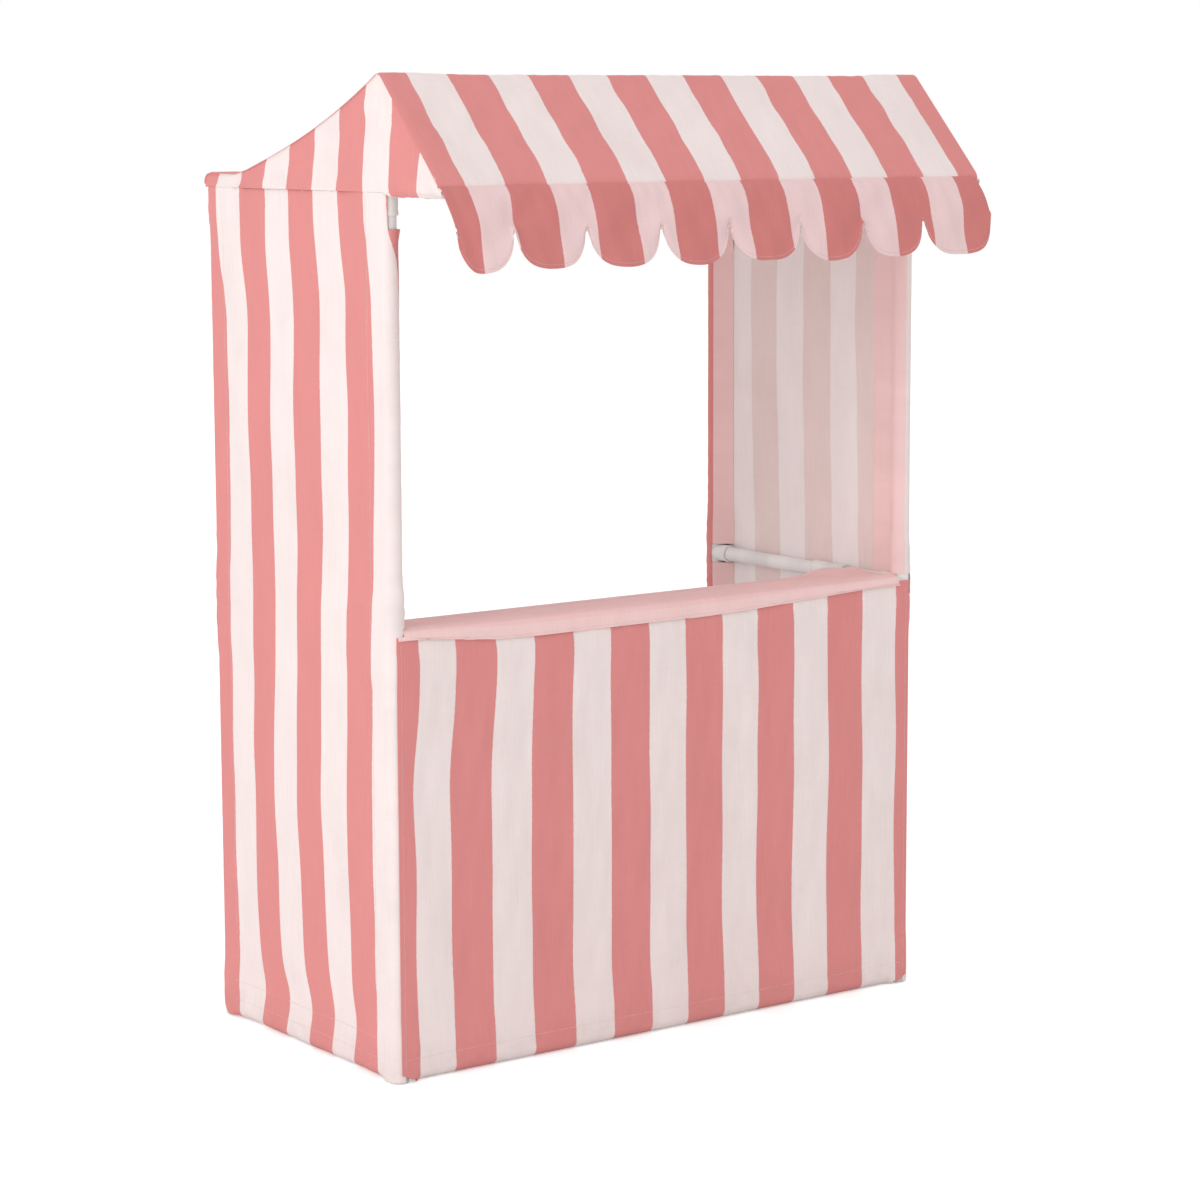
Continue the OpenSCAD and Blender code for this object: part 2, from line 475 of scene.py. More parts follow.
def row(u: Array | float, v: Array | float) -> Array:
    """A line of stitches, from its places across and along the cloth."""
    return np.stack(np.broadcast_arrays(u, v), axis=-1)


def closed_rim(squares: Array, count: int) -> Array:
    """Squares that close the edge between a cloth's two faces.

    Args:
        squares: the outer face's squares, by point.
        count: how many points a face has; the inner face's points follow them.

    Returns:
        The rim's squares, facing outwards.
    """
    start = squares.ravel()
    end = np.roll(squares, -1, axis=1).ravel()
    forward = start.astype(np.int64) * count + end
    backward = end.astype(np.int64) * count + start
    open_edge = ~np.isin(forward, backward)
    a, b = start[open_edge], end[open_edge]
    return np.stack([b, a, a + count, b + count], axis=-1)


# ------------------------------------------------------------------- the side covers


@dataclass
class SidePanel(Cover):
    """A side wall, wrapped round both posts into sleeves and round the base rail into a hem."""

    side: Side = Side.RIGHT
    front_strip: float = 0.033
    back_strip: float = 0.029
    front_flap: float = 0.038
    back_flap: float = 0.004
    hem_stitch: float = 0.030
    hem_edge: float = 0.060
    sleeve_top: float = 1.079
    break_low: float = 0.5555
    break_high: float = 0.5835
    break_from: float = 50
    loop_clear: float = 0.028
    first_rose: float = -0.105
    pitch: float = 0.0585
    top_pitch: float = 0.0603
    strip_turn: float = 160
    strip_turn_back: float = 214
    top_turn: float = 54
    top_turn_back: float = 1.2
    break_to: float = 3.55
    last_edge: float = 6.5
    snug: float = 0.0019

    def __post_init__(self) -> None:
        """Lays out the two lines that the cloth is folded along."""
        s, r, hand = self.stall, self.stall.wrap_r, self.side.name.lower()
        self.name, self.replaced = f"{hand}_wall_cloth", (f"side_panel_{hand}",)
        self.rests_on = (f"post_front_{hand}", f"post_back_{hand}", f"base_rail_{hand}")
        tuck = self.tuck
        front_turn = tangent_angle(r, self.front_strip, tuck)
        back_turn = tangent_angle(r, self.back_strip, tuck)
        lead = [(tuck, s.front_y + self.front_strip + self.front_flap), (tuck, s.front_y + self.front_strip)]
        tail = [(tuck, s.back_y - self.back_strip), (tuck, s.back_y - self.back_strip - self.back_flap)]
        front_wrap = arc((0, s.front_y), r, front_turn, 360)
        back_wrap = arc((0, s.back_y), r, 0, 360 - back_turn)
        self.round = Path([*lead, *front_wrap, *back_wrap, *tail])
        marks = self.round.lengths
        self.u_front = marks[1 + len(front_wrap)]
        self.u_back = marks[2 + len(front_wrap)]
        self.u_stitch = marks[1]
        self.u_tail = marks[-2]
        self.u_front_tangent = marks[2]
        self.u_back_tangent = marks[-3]
        self.drop = hem_line(s, s.seam_z, self.hem_stitch, self.hem_edge, tuck)
        self.v_base = self.drop.lengths[1]
        self.v_hem_tangent = self.drop.lengths[-3]
        self.v_hem_stitch = self.drop.lengths[-2]
        self.v_cut = self.v_base + math.radians(60) * r
        self.v_bend = self.v_base - 0.105
        self.facing = -1 if self.side is Side.RIGHT else 1

    def height_at(self, z: float) -> float:
        """The place down the cloth that lies at a height on the wall."""
        return self.stall.seam_z - z

    def wraps(self, u: Array) -> tuple[Array, Array]:
        """How far round the front and back posts a place is, in radians from the wall."""
        r = self.stall.wrap_r
        return (self.u_front - u) / r, (u - self.u_back) / r

    def threads(self) -> tuple[Array, Array]:
        """Places across and along the cloth at which the grid has threads."""
        r = self.stall.wrap_r
        turns = [self.u_front - math.radians(a) * r for a in (self.top_turn, self.break_from)]
        turns.append(self.u_back + self.top_turn_back * r)
        near = (self.u_front + self.loop_clear, self.u_back - self.loop_clear)
        seam_back = self.u_back + math.radians(self.strip_turn_back) * r
        seams = (self.u_front - math.radians(self.strip_turn) * r, seam_back)
        across = self.round.stations(5.6 * MM, (*turns, *near, *seams))
        heights = (self.sleeve_top, self.break_high, self.break_low)
        along = self.drop.stations(7 * MM, [self.height_at(z) for z in heights] + [self.v_cut, self.v_bend])
        return across, along

    def lower_edge(self, u: Array) -> Array:
        """The place down the cloth at which a sleeve is cut off at the foot."""
        front, back = self.wraps(u)
        front_z = 0.004 + 0.065 * smooth(front, 1.5, 2.3)
        back_z = np.minimum(0.004 + 0.0102 * np.maximum(back + 1, 0) ** 2, 0.069)
        low = self.v_cut + 0 * u
        low = np.where(front > 0, np.minimum(self.v_cut, self.height_at(front_z) + 0.006), low)
        return np.where(back > -1, np.minimum(self.v_cut, self.height_at(back_z) + 0.006), low)

    def fold(self, u: Array, v: Array) -> Array:
        """Where the cloth lies before it is creased."""
        s = self.stall
        gone = np.minimum(np.abs(u - self.u_front), np.abs(u - self.u_back))
        wrapped = (u < self.u_front) | (u > self.u_back)
        gone = np.where(wrapped, 0, gone)
        limit = self.lower_edge(u)
        squeezed = self.v_bend + (v - self.v_bend) * (limit - self.v_bend) / (self.v_cut - self.v_bend)
        v = np.where((wrapped | (u > self.u_back - s.wrap_r)) & (v > self.v_bend), squeezed, v)
        recess, z = self.drop.at(v)
        recess = recess * smooth(gone, 0.012, self.loop_clear)
        a, y = self.round.at(u)
        left_a, left_y = self.round.left(u)
        strip = np.maximum(
            smooth(u, self.u_front_tangent, self.u_stitch), smooth(u, self.u_back_tangent, self.u_tail)
        )
        left_a, left_y = left_a * (1 - strip) - strip, left_y * (1 - strip)
        from_post = np.minimum(np.abs(y - s.front_y), np.abs(y - s.back_y))
        recess = recess + self.snug * (1 - self.near_joint(y, z, from_post))
        return np.stack(
            [self.side.value * (s.post_x + a + recess * left_a), y + recess * left_y, z], axis=-1
        )

    def near_joint(self, y: Array, z: Array, gone: Array) -> Array:
        """1 where the cloth goes over a connector, 0 where it draws in to the tubes.

        Args:
            y: places from front to back.
            z: heights.
            gone: distance along the wall from the nearer post.

        Returns:
            Values from 0 to 1.
        """
        s = self.stall
        at_post = smooth(gone, 0.09, 0.04)
        joint = 0 * z
        for level in (s.base_z, s.counter_z, s.eave_z):
            joint = np.maximum(joint, at_post * smooth(np.abs(z - level), 0.075, 0.037))
        tee = smooth(np.abs(y - s.tee_y), 0.085, 0.038) * smooth(np.abs(z - s.counter_z), 0.06, 0.018)
        return np.maximum(joint, tee)

    def wall_relief(self, u: Array, v: Array) -> Array:
        """How far creases lift the wall between the two posts.

        Args:
            u: places across the cloth.
            v: places along it.

        Returns:
            Heights, positive outwards.
        """
        s = self.stall
        seed = 11 if self.side is Side.LEFT else 12
        on_wall = smooth(u, self.u_front + 0.01, self.u_front + 0.05) * smooth(
            u, self.u_back - 0.01, self.u_back - 0.05
        )
        z = s.seam_z - v
        free = smooth(np.abs(z - s.counter_z), 0.015, 0.06) * smooth(z, 0.04, 0.10)
        billow = ripples(u, v, 0.16, 0.50, 0.9 * MM, seed) + ripples(u, v, 0.045, 0.22, 0.28 * MM, seed + 20)
        lift = on_wall * (0.3 + 0.7 * free) * billow
        pucker = ripples(u, v, 0.018, 0.09, 0.30 * MM, seed + 40)
        lift = lift + on_wall * smooth(z, 0.11, 0.03) * smooth(v, self.v_base + 0.01, self.v_base) * pucker
        seam_pull = ripples(u, v, 0.022, 0.06, 0.35 * MM, seed + 50)
        lift = lift + on_wall * smooth(v, 0.06, 0.0) * seam_pull
        stitch_u, tail_u = self.u_front + self.front_strip, self.u_back - self.back_strip
        drawn = bump(u, stitch_u, 0.014) + bump(u, tail_u, 0.014)
        lift = lift + on_wall * drawn * ripples(u, v, 0.05, 0.026, 0.20 * MM, seed + 80)
        channel = bump(u, stitch_u, 0.003) + bump(u, tail_u, 0.003)
        return lift - 0.45 * MM * channel * smooth(v, self.v_base, self.v_base - 0.03)

    def relief(self, u: Array, v: Array) -> Array:
        """How far creases lift the cloth from there; a hidden ply follows the ply over it."""
        s = self.stall
        seed = 11 if self.side is Side.LEFT else 12
        front, back = self.wraps(u)
        y, z = self.round.at(u)[1], self.drop.at(v)[1]
        front_ply = smooth(u, self.u_front_tangent, self.u_stitch)
        ply = np.maximum(front_ply, smooth(u, self.u_back_tangent, self.u_tail))
        hidden = np.maximum(ply, smooth(v, self.v_hem_tangent, self.v_hem_stitch))
        wall = self.wall_relief(self.u_front + y - s.front_y, s.seam_z - z)
        wrapped = np.maximum(smooth(front, 0.1, 0.7), smooth(back, 0.1, 0.7))
        slack = 0.25 + 0.75 * smooth(np.abs(z - s.counter_z), 0.13, 0.05) + 0.9 * smooth(z, 1.02, 1.075)
        rings = ripples(u, v, 0.05, 0.020, 0.36 * MM, seed + 60)
        rings = rings + ripples(u, v, 0.03, 0.045, 0.30 * MM, seed + 70)
        shown = np.where(wrapped > 0, wrapped * slack * np.maximum(rings, -0.35 * MM), wall)
        return (1 - hidden) * shown - hidden * (wall + 0.3 * MM)

    def drift(self, u: Array, v: Array) -> Array:
        """The print's place across the stripes, from the first edge of a rose stripe."""
        y = self.stall.front_y + (u - self.u_front)
        z = self.stall.seam_z - v
        wander = ripples(u, v, 0.30, 0.22, 0.8 * MM, 5)
        if self.side is Side.RIGHT:
            wander = wander + 0.005 * np.sin(2 * math.pi * (z - 0.14) / 1.1) * smooth(y, -0.14, -0.02)
            x = (y - self.first_rose + wander) * STRIPE_W / self.pitch
            return np.clip(x, -0.5 * STRIPE_W, self.last_edge * STRIPE_W)
        pulled = 0.008 * bump(z, 0.33, 0.17) - 0.011 * bump(z, 0.85, 0.16)
        pulled = pulled * (1 - 0.7 * smooth(y, -0.10, 0.20))
        swayed = 0.014 * bump(z, 0.84, 0.13) + 0.013 * bump(z, 0.37, 0.17) - 0.010 * bump(z, 0.03, 0.07)
        kinked = (0.004 * bump(z, 0.0, 0.02) - 0.0088 * bump(z, 0.062, 0.030)) * smooth(y, 0.25, 0.20)
        kinked = kinked * smooth(y, -0.085, -0.045) + 0.005 * bump(z, 0.15, 0.06) * smooth(y, -0.05, -0.09)
        shifted = pulled + swayed * bump(y, 0.09, 0.11) + kinked
        x = (y - self.first_rose + wander - shifted) * STRIPE_W / self.pitch
        sewn = smooth(z + 0.055 * smooth(y, -0.05, 0.12), 0.99, 1.12)
        top = (y - self.first_rose - 0.008) * STRIPE_W / self.top_pitch
        x = x * (1 - sewn) + top * sewn
        twisted = 0.010 * smooth(z, 1.035, 1.08) * smooth(self.wraps(u)[0], 0.0, 0.8)
        lowest = -(0.5 + smooth(z, 0.93, 1.0)) * STRIPE_W
        return np.clip(x - twisted, lowest, self.last_edge * STRIPE_W)

    def plain(self, u: Array, v: Array) -> Array:
        """1 where the cloth is a plain strip that was sewn on, else 0."""
        front, back = self.wraps(u)
        sewn_on = front > math.radians(self.strip_turn)
        return (sewn_on | (back > math.radians(self.strip_turn_back))) + 0.0 * v

    def kept(self, u: Array, v: Array) -> Array:
        """True on the squares, given by their middles, that the cut keeps."""
        front, back = self.wraps(u)
        z = self.stall.seam_z - v
        foot = (u < self.u_front + self.loop_clear) | (u > self.u_back - self.loop_clear)
        keep = ~(foot & (v > self.v_cut))
        keep &= ~((front > math.radians(self.top_turn)) & (z > self.sleeve_top))
        keep &= ~((back > self.top_turn_back) & (z > self.sleeve_top))
        gap = (z > self.break_low) & (z < self.break_high)
        keep &= ~(gap & (front > math.radians(self.break_from)) & (u > self.u_stitch))
        return keep & ~(gap & (back > self.break_to) & (u < self.u_tail))

    def rows(self) -> list[Array]:
        """Lines of stitches, each as places (u, v) along it."""
        down = np.arange(self.height_at(1.118), self.height_at(0.070), STITCH_STEP)
        along = np.arange(self.u_front + self.loop_clear, self.u_back - self.loop_clear, STITCH_STEP)
        return [
            row(self.u_front + self.front_strip, down),
            row(self.u_back - self.back_strip, down),
            row(along, self.height_at(self.hem_stitch - 0.002)),
            row(along, self.height_at(self.hem_edge - 0.006)),
        ]


@dataclass
class Gable(Cover):
    """The small triangle of cloth that closes a side under the roof."""

    side: Side = Side.RIGHT
    first_rose: float = -0.100
    pitch: float = 0.0585
    tallest: float = 0.143
    hem: float = 0.0045

    def __post_init__(self) -> None:
        """Lays out the top edge under the roof."""
        s, hand = self.stall, self.side.name.lower()
        self.name, self.replaced = f"{hand}_gable_cloth", (f"gable_{hand}",)
        self.rests_on = (f"awning_arm_{hand}", f"eave_rail_{hand}")
        self.roof = roof_line(s, s.wrap_r - 1.3 * MM)
        self.y_low = s.awning_y - 0.0185
        self.y_high = s.back_y + 0.0110
        self.facing = 1 if self.side is Side.RIGHT else -1

    def threads(self) -> tuple[Array, Array]:
        """Places across and along the cloth at which the grid has threads."""
        s = self.stall
        joint = (s.front_y - 0.012, s.front_y, s.front_y + 0.012)
        marks = np.array([self.y_low, s.awning_y, *joint, s.back_y, self.y_high])
        return spread(marks, 5 * MM), spread(np.array([0.0, self.tallest]), 6 * MM)

    def top(self, y: Array) -> Array:
        """Height of the top edge over a place from front to back."""
        return np.interp(y, self.roof.points[:, 0], self.roof.points[:, 1])

    def bottom(self, y: Array) -> Array:
        """Height of the lower edge: the seam, and in front of the post a free edge that lifts."""
        s = self.stall
        rolled = 0.0055 * smooth(y, s.front_y - 0.008, s.front_y - 0.022)
        return np.minimum(s.seam_z + 0.0003 - rolled, self.top(y) - 1.2 * MM)

    def fold(self, u: Array, v: Array) -> Array:
        """Where the cloth lies before it is creased."""
        s = self.stall
        low, high = self.bottom(u), self.top(u)
        z = low + (high - low) * v / self.tallest
        lean = 1.0 * MM * smooth(z, s.seam_z, s.ridge_z) + 1.1 * MM * smooth(high - z, 0.0045, 0.0015)
        below = np.maximum(s.eave_z - z, 0) * smooth(u, s.front_y - 0.006, s.front_y - 0.020)
        x = s.post_x + np.sqrt(s.wrap_r**2 - below**2) - lean
        return np.stack([self.side.value * x, u + 0 * v, z], axis=-1)

    def relief(self, u: Array, v: Array) -> Array:
        """How far creases lift the cloth from there."""
        s = self.stall
        seed = 31 if self.side is Side.LEFT else 32
        rise = v / self.tallest
        inside = smooth(rise, 0.0, 0.3) * smooth(rise, 1.0, 0.7)
        height = self.top(u) - self.bottom(u)
        billow = ripples(u, rise * height, 0.08, 0.09, 0.7 * MM, seed)
        pull = ripples(u, v, 0.020, 0.05, 0.25 * MM, seed + 1)
        hollow = -1.2 * MM * bump(u, s.front_y + 0.13, 0.08) + 1.0 * MM * bump(u, s.front_y, 0.02)
        z = rise * height
        pulls = sum(c.height(u, z) for c in self.pulls())
        return inside * (billow + hollow) + smooth(rise, 0.25, 0.0) * pull + smooth(rise, 1.0, 0.9) * pulls

    def pulls(self) -> list[Crease]:
        """Folds that the cloth is pulled into from the ridge joint and along the slope."""
        y = self.stall.front_y
        return [
            Crease((y - 0.006, 0.134), (y - 0.002, 0.040), 3.2 * MM, 2.2 * MM),
            Crease((y + 0.004, 0.134), (y + 0.020, 0.060), 3.5 * MM, 1.3 * MM),
            Crease((y + 0.014, 0.128), (y + 0.070, 0.045), 5 * MM, 1.1 * MM),
            Crease((y - 0.014, 0.118), (y - 0.085, 0.018), 4 * MM, 0.9 * MM),
            Crease((y + 0.380, 0.014), (y + 0.250, 0.030), 4 * MM, 0.8 * MM),
        ]

    def drift(self, u: Array, v: Array) -> Array:
        """The print's place across the stripes, from the first edge of a rose stripe."""
        return (u - self.first_rose + 0.075 * v) * STRIPE_W / self.pitch

    def drawn_in(self, u: Array, v: Array) -> Array:
        """How long the cloth is along v at a place, as a share of the grid there."""
        return (self.top(u) - self.bottom(u)) / self.tallest

    def rows(self) -> list[Array]:
        """Lines of stitches, each as places (u, v) along it."""
        s = self.stall
        free = np.arange(s.awning_y + 0.004, s.front_y - 0.016, STITCH_STEP)
        return [row(free, self.hem * self.tallest / (self.top(free) - self.bottom(free)))]


# ---------------------------------------------------------------- the roof and valance


def roof_line(stall: Stall, radius: float) -> Path:
    """The roof's line seen from the side, from the awning bar over the ridge to the back rail.

    Args:
        stall: the frame's sizes.
        radius: how far outside the bars' centres the line runs.

    Returns:
        The line as (y, z), from front to back.
    """
    front_tilt = math.degrees(math.atan2(stall.ridge_z - stall.eave_z, stall.front_y - stall.awning_y))
    knee_y = stall.back_y - stall.level_back
    back_tilt = math.degrees(math.atan2(stall.ridge_z - stall.eave_z, knee_y - stall.front_y))
    bar = arc((stall.awning_y, stall.eave_z), radius, 180, 90 + front_tilt)
    ridge = arc((stall.front_y, stall.ridge_z), radius, 90 + front_tilt, 90 - back_tilt)
    start = np.array(ridge[-1])
    knee = np.array([knee_y + radius * math.tan(math.radians(back_tilt / 2)), stall.eave_z + radius])
    slope = []
    for t in np.linspace(0, 1, 25)[1:-1]:
        y, z = start + t * (knee - start)
        slope.append((y, z - 0.0115 * math.sin(math.pi * t**0.85)))
    level = [(float(knee[0]) + 0.012, stall.eave_z + radius - 0.0004)]
    rail = arc((stall.back_y, stall.eave_z), radius, 90, 0)
    return Path([*bar, *ridge, *slope, *level, *rail])


@dataclass
class Roof(Cover):
    """One sheet from a tunnel round the awning bar, over the ridge, to a tunnel round the back rail."""

    name: str = "roof_cloth"
    replaced: tuple[str, ...] = ("roof_back", "roof_front")
    rests_on: tuple[str, ...] = ("awning_bar", "ridge_bar", "eave_rail_back")
    edge_r: float = 0.0014
    turned: float = 0.0004
    tunnel: float = 0.030
    flap: float = 0.006
    seam_up: float = 0.004
    first_rose: float = -0.455
    pitch: float = 0.0609

    def __post_init__(self) -> None:
        """Lays out the two lines that the cloth is folded along."""
        s, r = self.stall, self.stall.wrap_r
        half = s.half_w + 0.2 * MM
        quarter = arc((half - self.edge_r, self.edge_r), self.edge_r, -90, 0)
        right = [(x, d) for x, d in quarter] + [(half, self.edge_r + self.turned)]
        self.wide = Path([(-x, d) for x, d in reversed(right)] + right)
        tuck = self.tuck
        turn = tangent_angle(r, self.tunnel, tuck)
        tilt = math.atan2(s.ridge_z - s.eave_z, s.front_y - s.awning_y)
        along, up = (math.cos(tilt), math.sin(tilt)), (-math.sin(tilt), math.cos(tilt))

        def under(reach: float) -> Point:
            """A place on the underside of the front slope, so far up from the awning bar."""
            return (
                s.awning_y + along[0] * reach + up[0] * tuck,
                s.eave_z + along[1] * reach + up[1] * tuck,
            )

        front = [under(self.tunnel + self.flap), under(self.tunnel)]
        loop = arc((s.awning_y, s.eave_z), r, math.degrees(tilt) + 450 - turn, 180)
        over = roof_line(s, r)
        back_loop = arc((s.back_y, s.eave_z), r, 0, turn - 270)
        back_seam = s.back_y - self.tunnel
        back = [(back_seam, s.eave_z + tuck), (back_seam - self.flap, s.eave_z + tuck)]
        self.line = Path([*front, *loop[:-1], *over.points.tolist(), *back_loop[1:], *back])
        marks = self.line.lengths
        self.v_front = marks[1 + len(loop)]
        self.v_back = marks[len(front) + len(loop) - 1 + len(over.points) - 1]
        self.v_ridge = self.v_front + float(over.lengths[np.argmax(over.points[:, 1])])
        self.tilt = tilt
        self.v_slope = self.v_front + r * (math.pi / 2 - tilt)
        self.v_level = self.v_back - r * math.pi / 2

    def threads(self) -> tuple[Array, Array]:
        """Places across and along the cloth at which the grid has threads."""
        inner = self.stall.post_x - 0.016
        middle_u = self.wide.length / 2
        across = self.wide.stations(7 * MM, (middle_u - inner, middle_u + inner))
        return across, self.line.stations(6 * MM)

    def fold(self, u: Array, v: Array) -> Array:
        """Where the cloth lies before it is creased."""
        x, deep = self.wide.at(u)
        y, z = self.line.at(v)
        left_y, left_z = self.line.left(v)
        return np.stack([x + 0 * v, y - deep * left_y, z - deep * left_z], axis=-1)

    def top_relief(self, u: Array, v: Array) -> Array:
        """How far creases lift the two slopes.

        Args:
            u: places across the cloth.
            v: places along it.

        Returns:
            Heights, positive outwards.
        """
        s = self.stall
        x = u - self.wide.length / 2
        mid = smooth(np.abs(x), s.post_x - 0.040, s.post_x - 0.100)
        flat = smooth(np.abs(x), s.half_w, s.half_w - 0.03)
        front = smooth(v, self.v_front + 0.045, self.v_front + 0.085)
        front = front * smooth(v, self.v_ridge - 0.01, self.v_ridge - 0.04)
        slope = smooth(v, self.v_ridge + 0.01, self.v_ridge + 0.06)
        slope = slope * smooth(v, self.v_back - 0.055, self.v_back - 0.11)
        billow = ripples(u, v, 0.13, 0.10, 0.9 * MM, 51) + ripples(u, v, 0.035, 0.10, 0.35 * MM, 52)
        lift = flat * (0.6 * front + slope) * billow
        sag = (1 - (x / s.half_w) ** 2) * flat
        lift = lift - 3.5 * MM * slope * sag - 1.6 * MM * front * sag
        on_ridge = bump(v, self.v_ridge, 0.022)
        on_bar = smooth(v, self.v_front + 0.040, self.v_front + 0.020)
        lift = lift - 2.0 * MM * mid * np.maximum(on_ridge, 0.7 * on_bar)
        seam = self.v_front + self.seam_up
        lift = lift - (0.2 + 1.3 * mid) * MM * bump(v, seam + 0.003, 0.0075)
        lift = lift + ripples(u, v, 0.024, 0.05, 0.38 * MM, 53) * bump(v, seam + 0.012, 0.012)
        lift = lift + ripples(u, v, 0.030, 0.05, 0.25 * MM, 54) * flat * bump(v, self.v_ridge, 0.03)
        side_pull = ripples(u, v, 0.05, 0.022, 0.30 * MM, 55)
        side_pull = side_pull * smooth(np.abs(x), s.half_w - 0.002, s.half_w - 0.020)
        return lift + side_pull * smooth(np.abs(x), s.post_x - 0.06, s.post_x - 0.01) * (front + slope)

    def relief(self, u: Array, v: Array) -> Array:
        """How far creases lift the cloth from there; a tunnel's flap follows the slope over it."""
        s = self.stall
        y, z = self.line.at(v)
        up_slope = (y - s.awning_y) * math.cos(self.tilt) + (z - s.eave_z) * math.sin(self.tilt)
        front = smooth(up_slope, 0.008, 0.020)
        back = smooth(s.back_y - y, 0.008, 0.020)
        under_front, under_back = v < self.v_front, v > self.v_back
        over = np.where(under_back, self.v_level + y - s.back_y, v)
        over = np.where(under_front, self.v_slope + up_slope, over)
        lift = self.top_relief(u, over)
        follow = np.where(under_front, front, back)
        return np.where(under_front | under_back, -follow * (lift + FLAP_GAP), lift)

    def drift(self, u: Array, v: Array) -> Array:
        """The print's place across the stripes, from the first edge of a rose stripe."""
        x = u - self.wide.length / 2
        wander = ripples(u, v, 0.5, 0.15, 0.8 * MM, 56)
        return (x - self.first_rose + wander) * STRIPE_W / self.pitch

    def kept(self, u: Array, v: Array) -> Array:
        """True on the squares, given by their middles, that the cut keeps."""
        x = u - self.wide.length / 2
        tunnel = (v < self.v_front) | (v > self.v_back + 0.002)
        return ~(tunnel & (np.abs(x) > self.stall.post_x - 0.016))

    def rows(self) -> list[Array]:
        """Lines of stitches, each as places (u, v) along it."""
        across = np.arange(0.02, self.wide.length - 0.02, STITCH_STEP)
        return [
            row(across, self.v_back - self.tunnel - 0.0216),
        ]


@dataclass
class Valance(Cover):
    """The scalloped strip that hangs in front of the awning bar."""

    name: str = "valance_cloth"
    replaced: tuple[str, ...] = ("valance",)
    hold: Hold = Hold.HUNG
    rests_on: tuple[str, ...] = ("awning_bar",)
    thick: float = 0.0018
    facing: int = -1
    meets: tuple[float, ...] = (-0.4314, -0.338, -0.228, -0.114, -0.0055, 0.1085, 0.213, 0.318, 0.436)
    cusp: float = 0.063
    drop: float = 0.1085
    level: float = 0.05
    hem: float = 0.0045
    first_rose: float = -0.4555
    pitch: float = 0.0602

    def __post_init__(self) -> None:
        """Lays out the strip's hang, seen from the side, from the seam down."""
        s = self.stall
        hang = [(-1.4, 0), (1.8, 1.6), (5, 6), (9.5, 13), (13, 22), (16, 33)]
        hang += [(18, 46), (20, 62), (23, 80), (26, 96), (29, 112)]
        top_y, top_z = s.awning_y - s.wrap_r - 0.9 * MM, s.eave_z + 0.0036
        self.line = Path([(top_y - out * MM, top_z - down * MM) for out, down in hang])

    def tab(self, x: Array) -> tuple[Array, Array]:
        """Which scallop a place across is in, and how far from its middle, from -1 to 1."""
        meets = np.array(self.meets)
        number = np.clip(np.searchsorted(meets, x) - 1, 0, len(meets) - 2)
        low, high = meets[number], meets[number + 1]
        return number, (2 * x - low - high) / (high - low)

    def threads(self) -> tuple[Array, Array]:
        """Places across and along the cloth at which the grid has threads."""
        marks = []
        for low, high in zip(self.meets[:-1], self.meets[1:]):
            parts = np.array([0, 0.45, 0.7, 0.80, 0.87, 0.91, 0.935, 0.965, 1]) * (high - low) / 2
            marks += [(low + high) / 2 + sign * p for sign in (-1, 1) for p in parts]
        across = spread(np.unique(np.round(marks, 6)), 4.5 * MM)
        return across, spread(np.array([0.0, self.level, self.drop]), 4.2 * MM)

    def outline(self, x: Array) -> Array:
        """How far down the strip hangs at a place across."""
        number, turn = self.tab(x)
        last = len(self.meets) - 2
        end = ((number == 0) & (turn < 0)) | ((number == last) & (turn > 0))
        t = np.minimum(np.abs(turn) / np.where(end, 1.0, 0.945), 1)
        reach = np.clip(1 - t ** np.where(end, 3.4, 2.5), 0, 1) ** (1 / 2.1)
        uneven = 1.8 * MM * np.sin(2.4 * number + 1.6)
        return self.cusp + (self.drop - self.cusp + uneven * (1 - t)) * reach

    def hang_at(self, u: Array, v: Array) -> Array:
        """How far down the cloth a grid row is, drawn up between the tabs."""
        scale = (self.outline(u) - self.level) / (self.drop - self.level)
        return np.where(v > self.level, self.level + (v - self.level) * scale, v)

    def fold(self, u: Array, v: Array) -> Array:
        """Where the cloth lies before it is creased."""
        down = self.hang_at(u, v)
        y, z = self.line.at(down)
        left_end = smooth(u, self.meets[0] + 0.06, self.meets[0])
        right_end = smooth(u, self.meets[-1] - 0.06, self.meets[-1])
        x = u - 0.012 * right_end * smooth(down, 0.06, 0.0) + 0.0134 * left_end * smooth(down, 0.0, 0.07)
        return np.stack([x, y, z], axis=-1)

    def relief(self, u: Array, v: Array) -> Array:
        """How far creases lift the cloth from there."""
        _, turn = self.tab(u)
        down = self.hang_at(u, v)
        low = smooth(down, 0.02, 0.09)
        belly = 1.8 * MM * low * (1 - turn**2)
        waves = ripples(u, v, 0.11, 0.12, 1.4 * MM, 61) * smooth(down, 0.005, 0.05)
        gather = ripples(u, v, 0.030, 0.07, 0.45 * MM, 62)
        gather = gather * smooth(down, 0.0, 0.006) * smooth(down, 0.05, 0.01)
        edge = -0.5 * MM * bump(self.outline(u) - down, self.hem, FURROW)
        return belly + waves + gather + edge

    def drift(self, u: Array, v: Array) -> Array:
        """The print's place across the stripes, from the first edge of a rose stripe."""
        return (u - self.first_rose - 0.05 * v) * STRIPE_W / self.pitch

    def drawn_in(self, u: Array, v: Array) -> Array:
        """How long the cloth is along v at a place, as a share of the grid there."""
        return np.where(v > self.level, (self.outline(u) - self.level) / (self.drop - self.level), 1)

    def rows(self) -> list[Array]:
        """Lines of stitches, each as places (u, v) along it."""
        across = np.arange(self.meets[0] + 0.004, self.meets[-1] - 0.004, STITCH_STEP / 2)
        scale = (self.outline(across) - self.level) / (self.drop - self.level)
        near = (self.outline(across) - self.hem - self.level) / scale + self.level
        return [row(across, np.clip(near, self.level + 0.0005, self.drop - 0.002))]


# ------------------------------------------------------------ the front and the counter


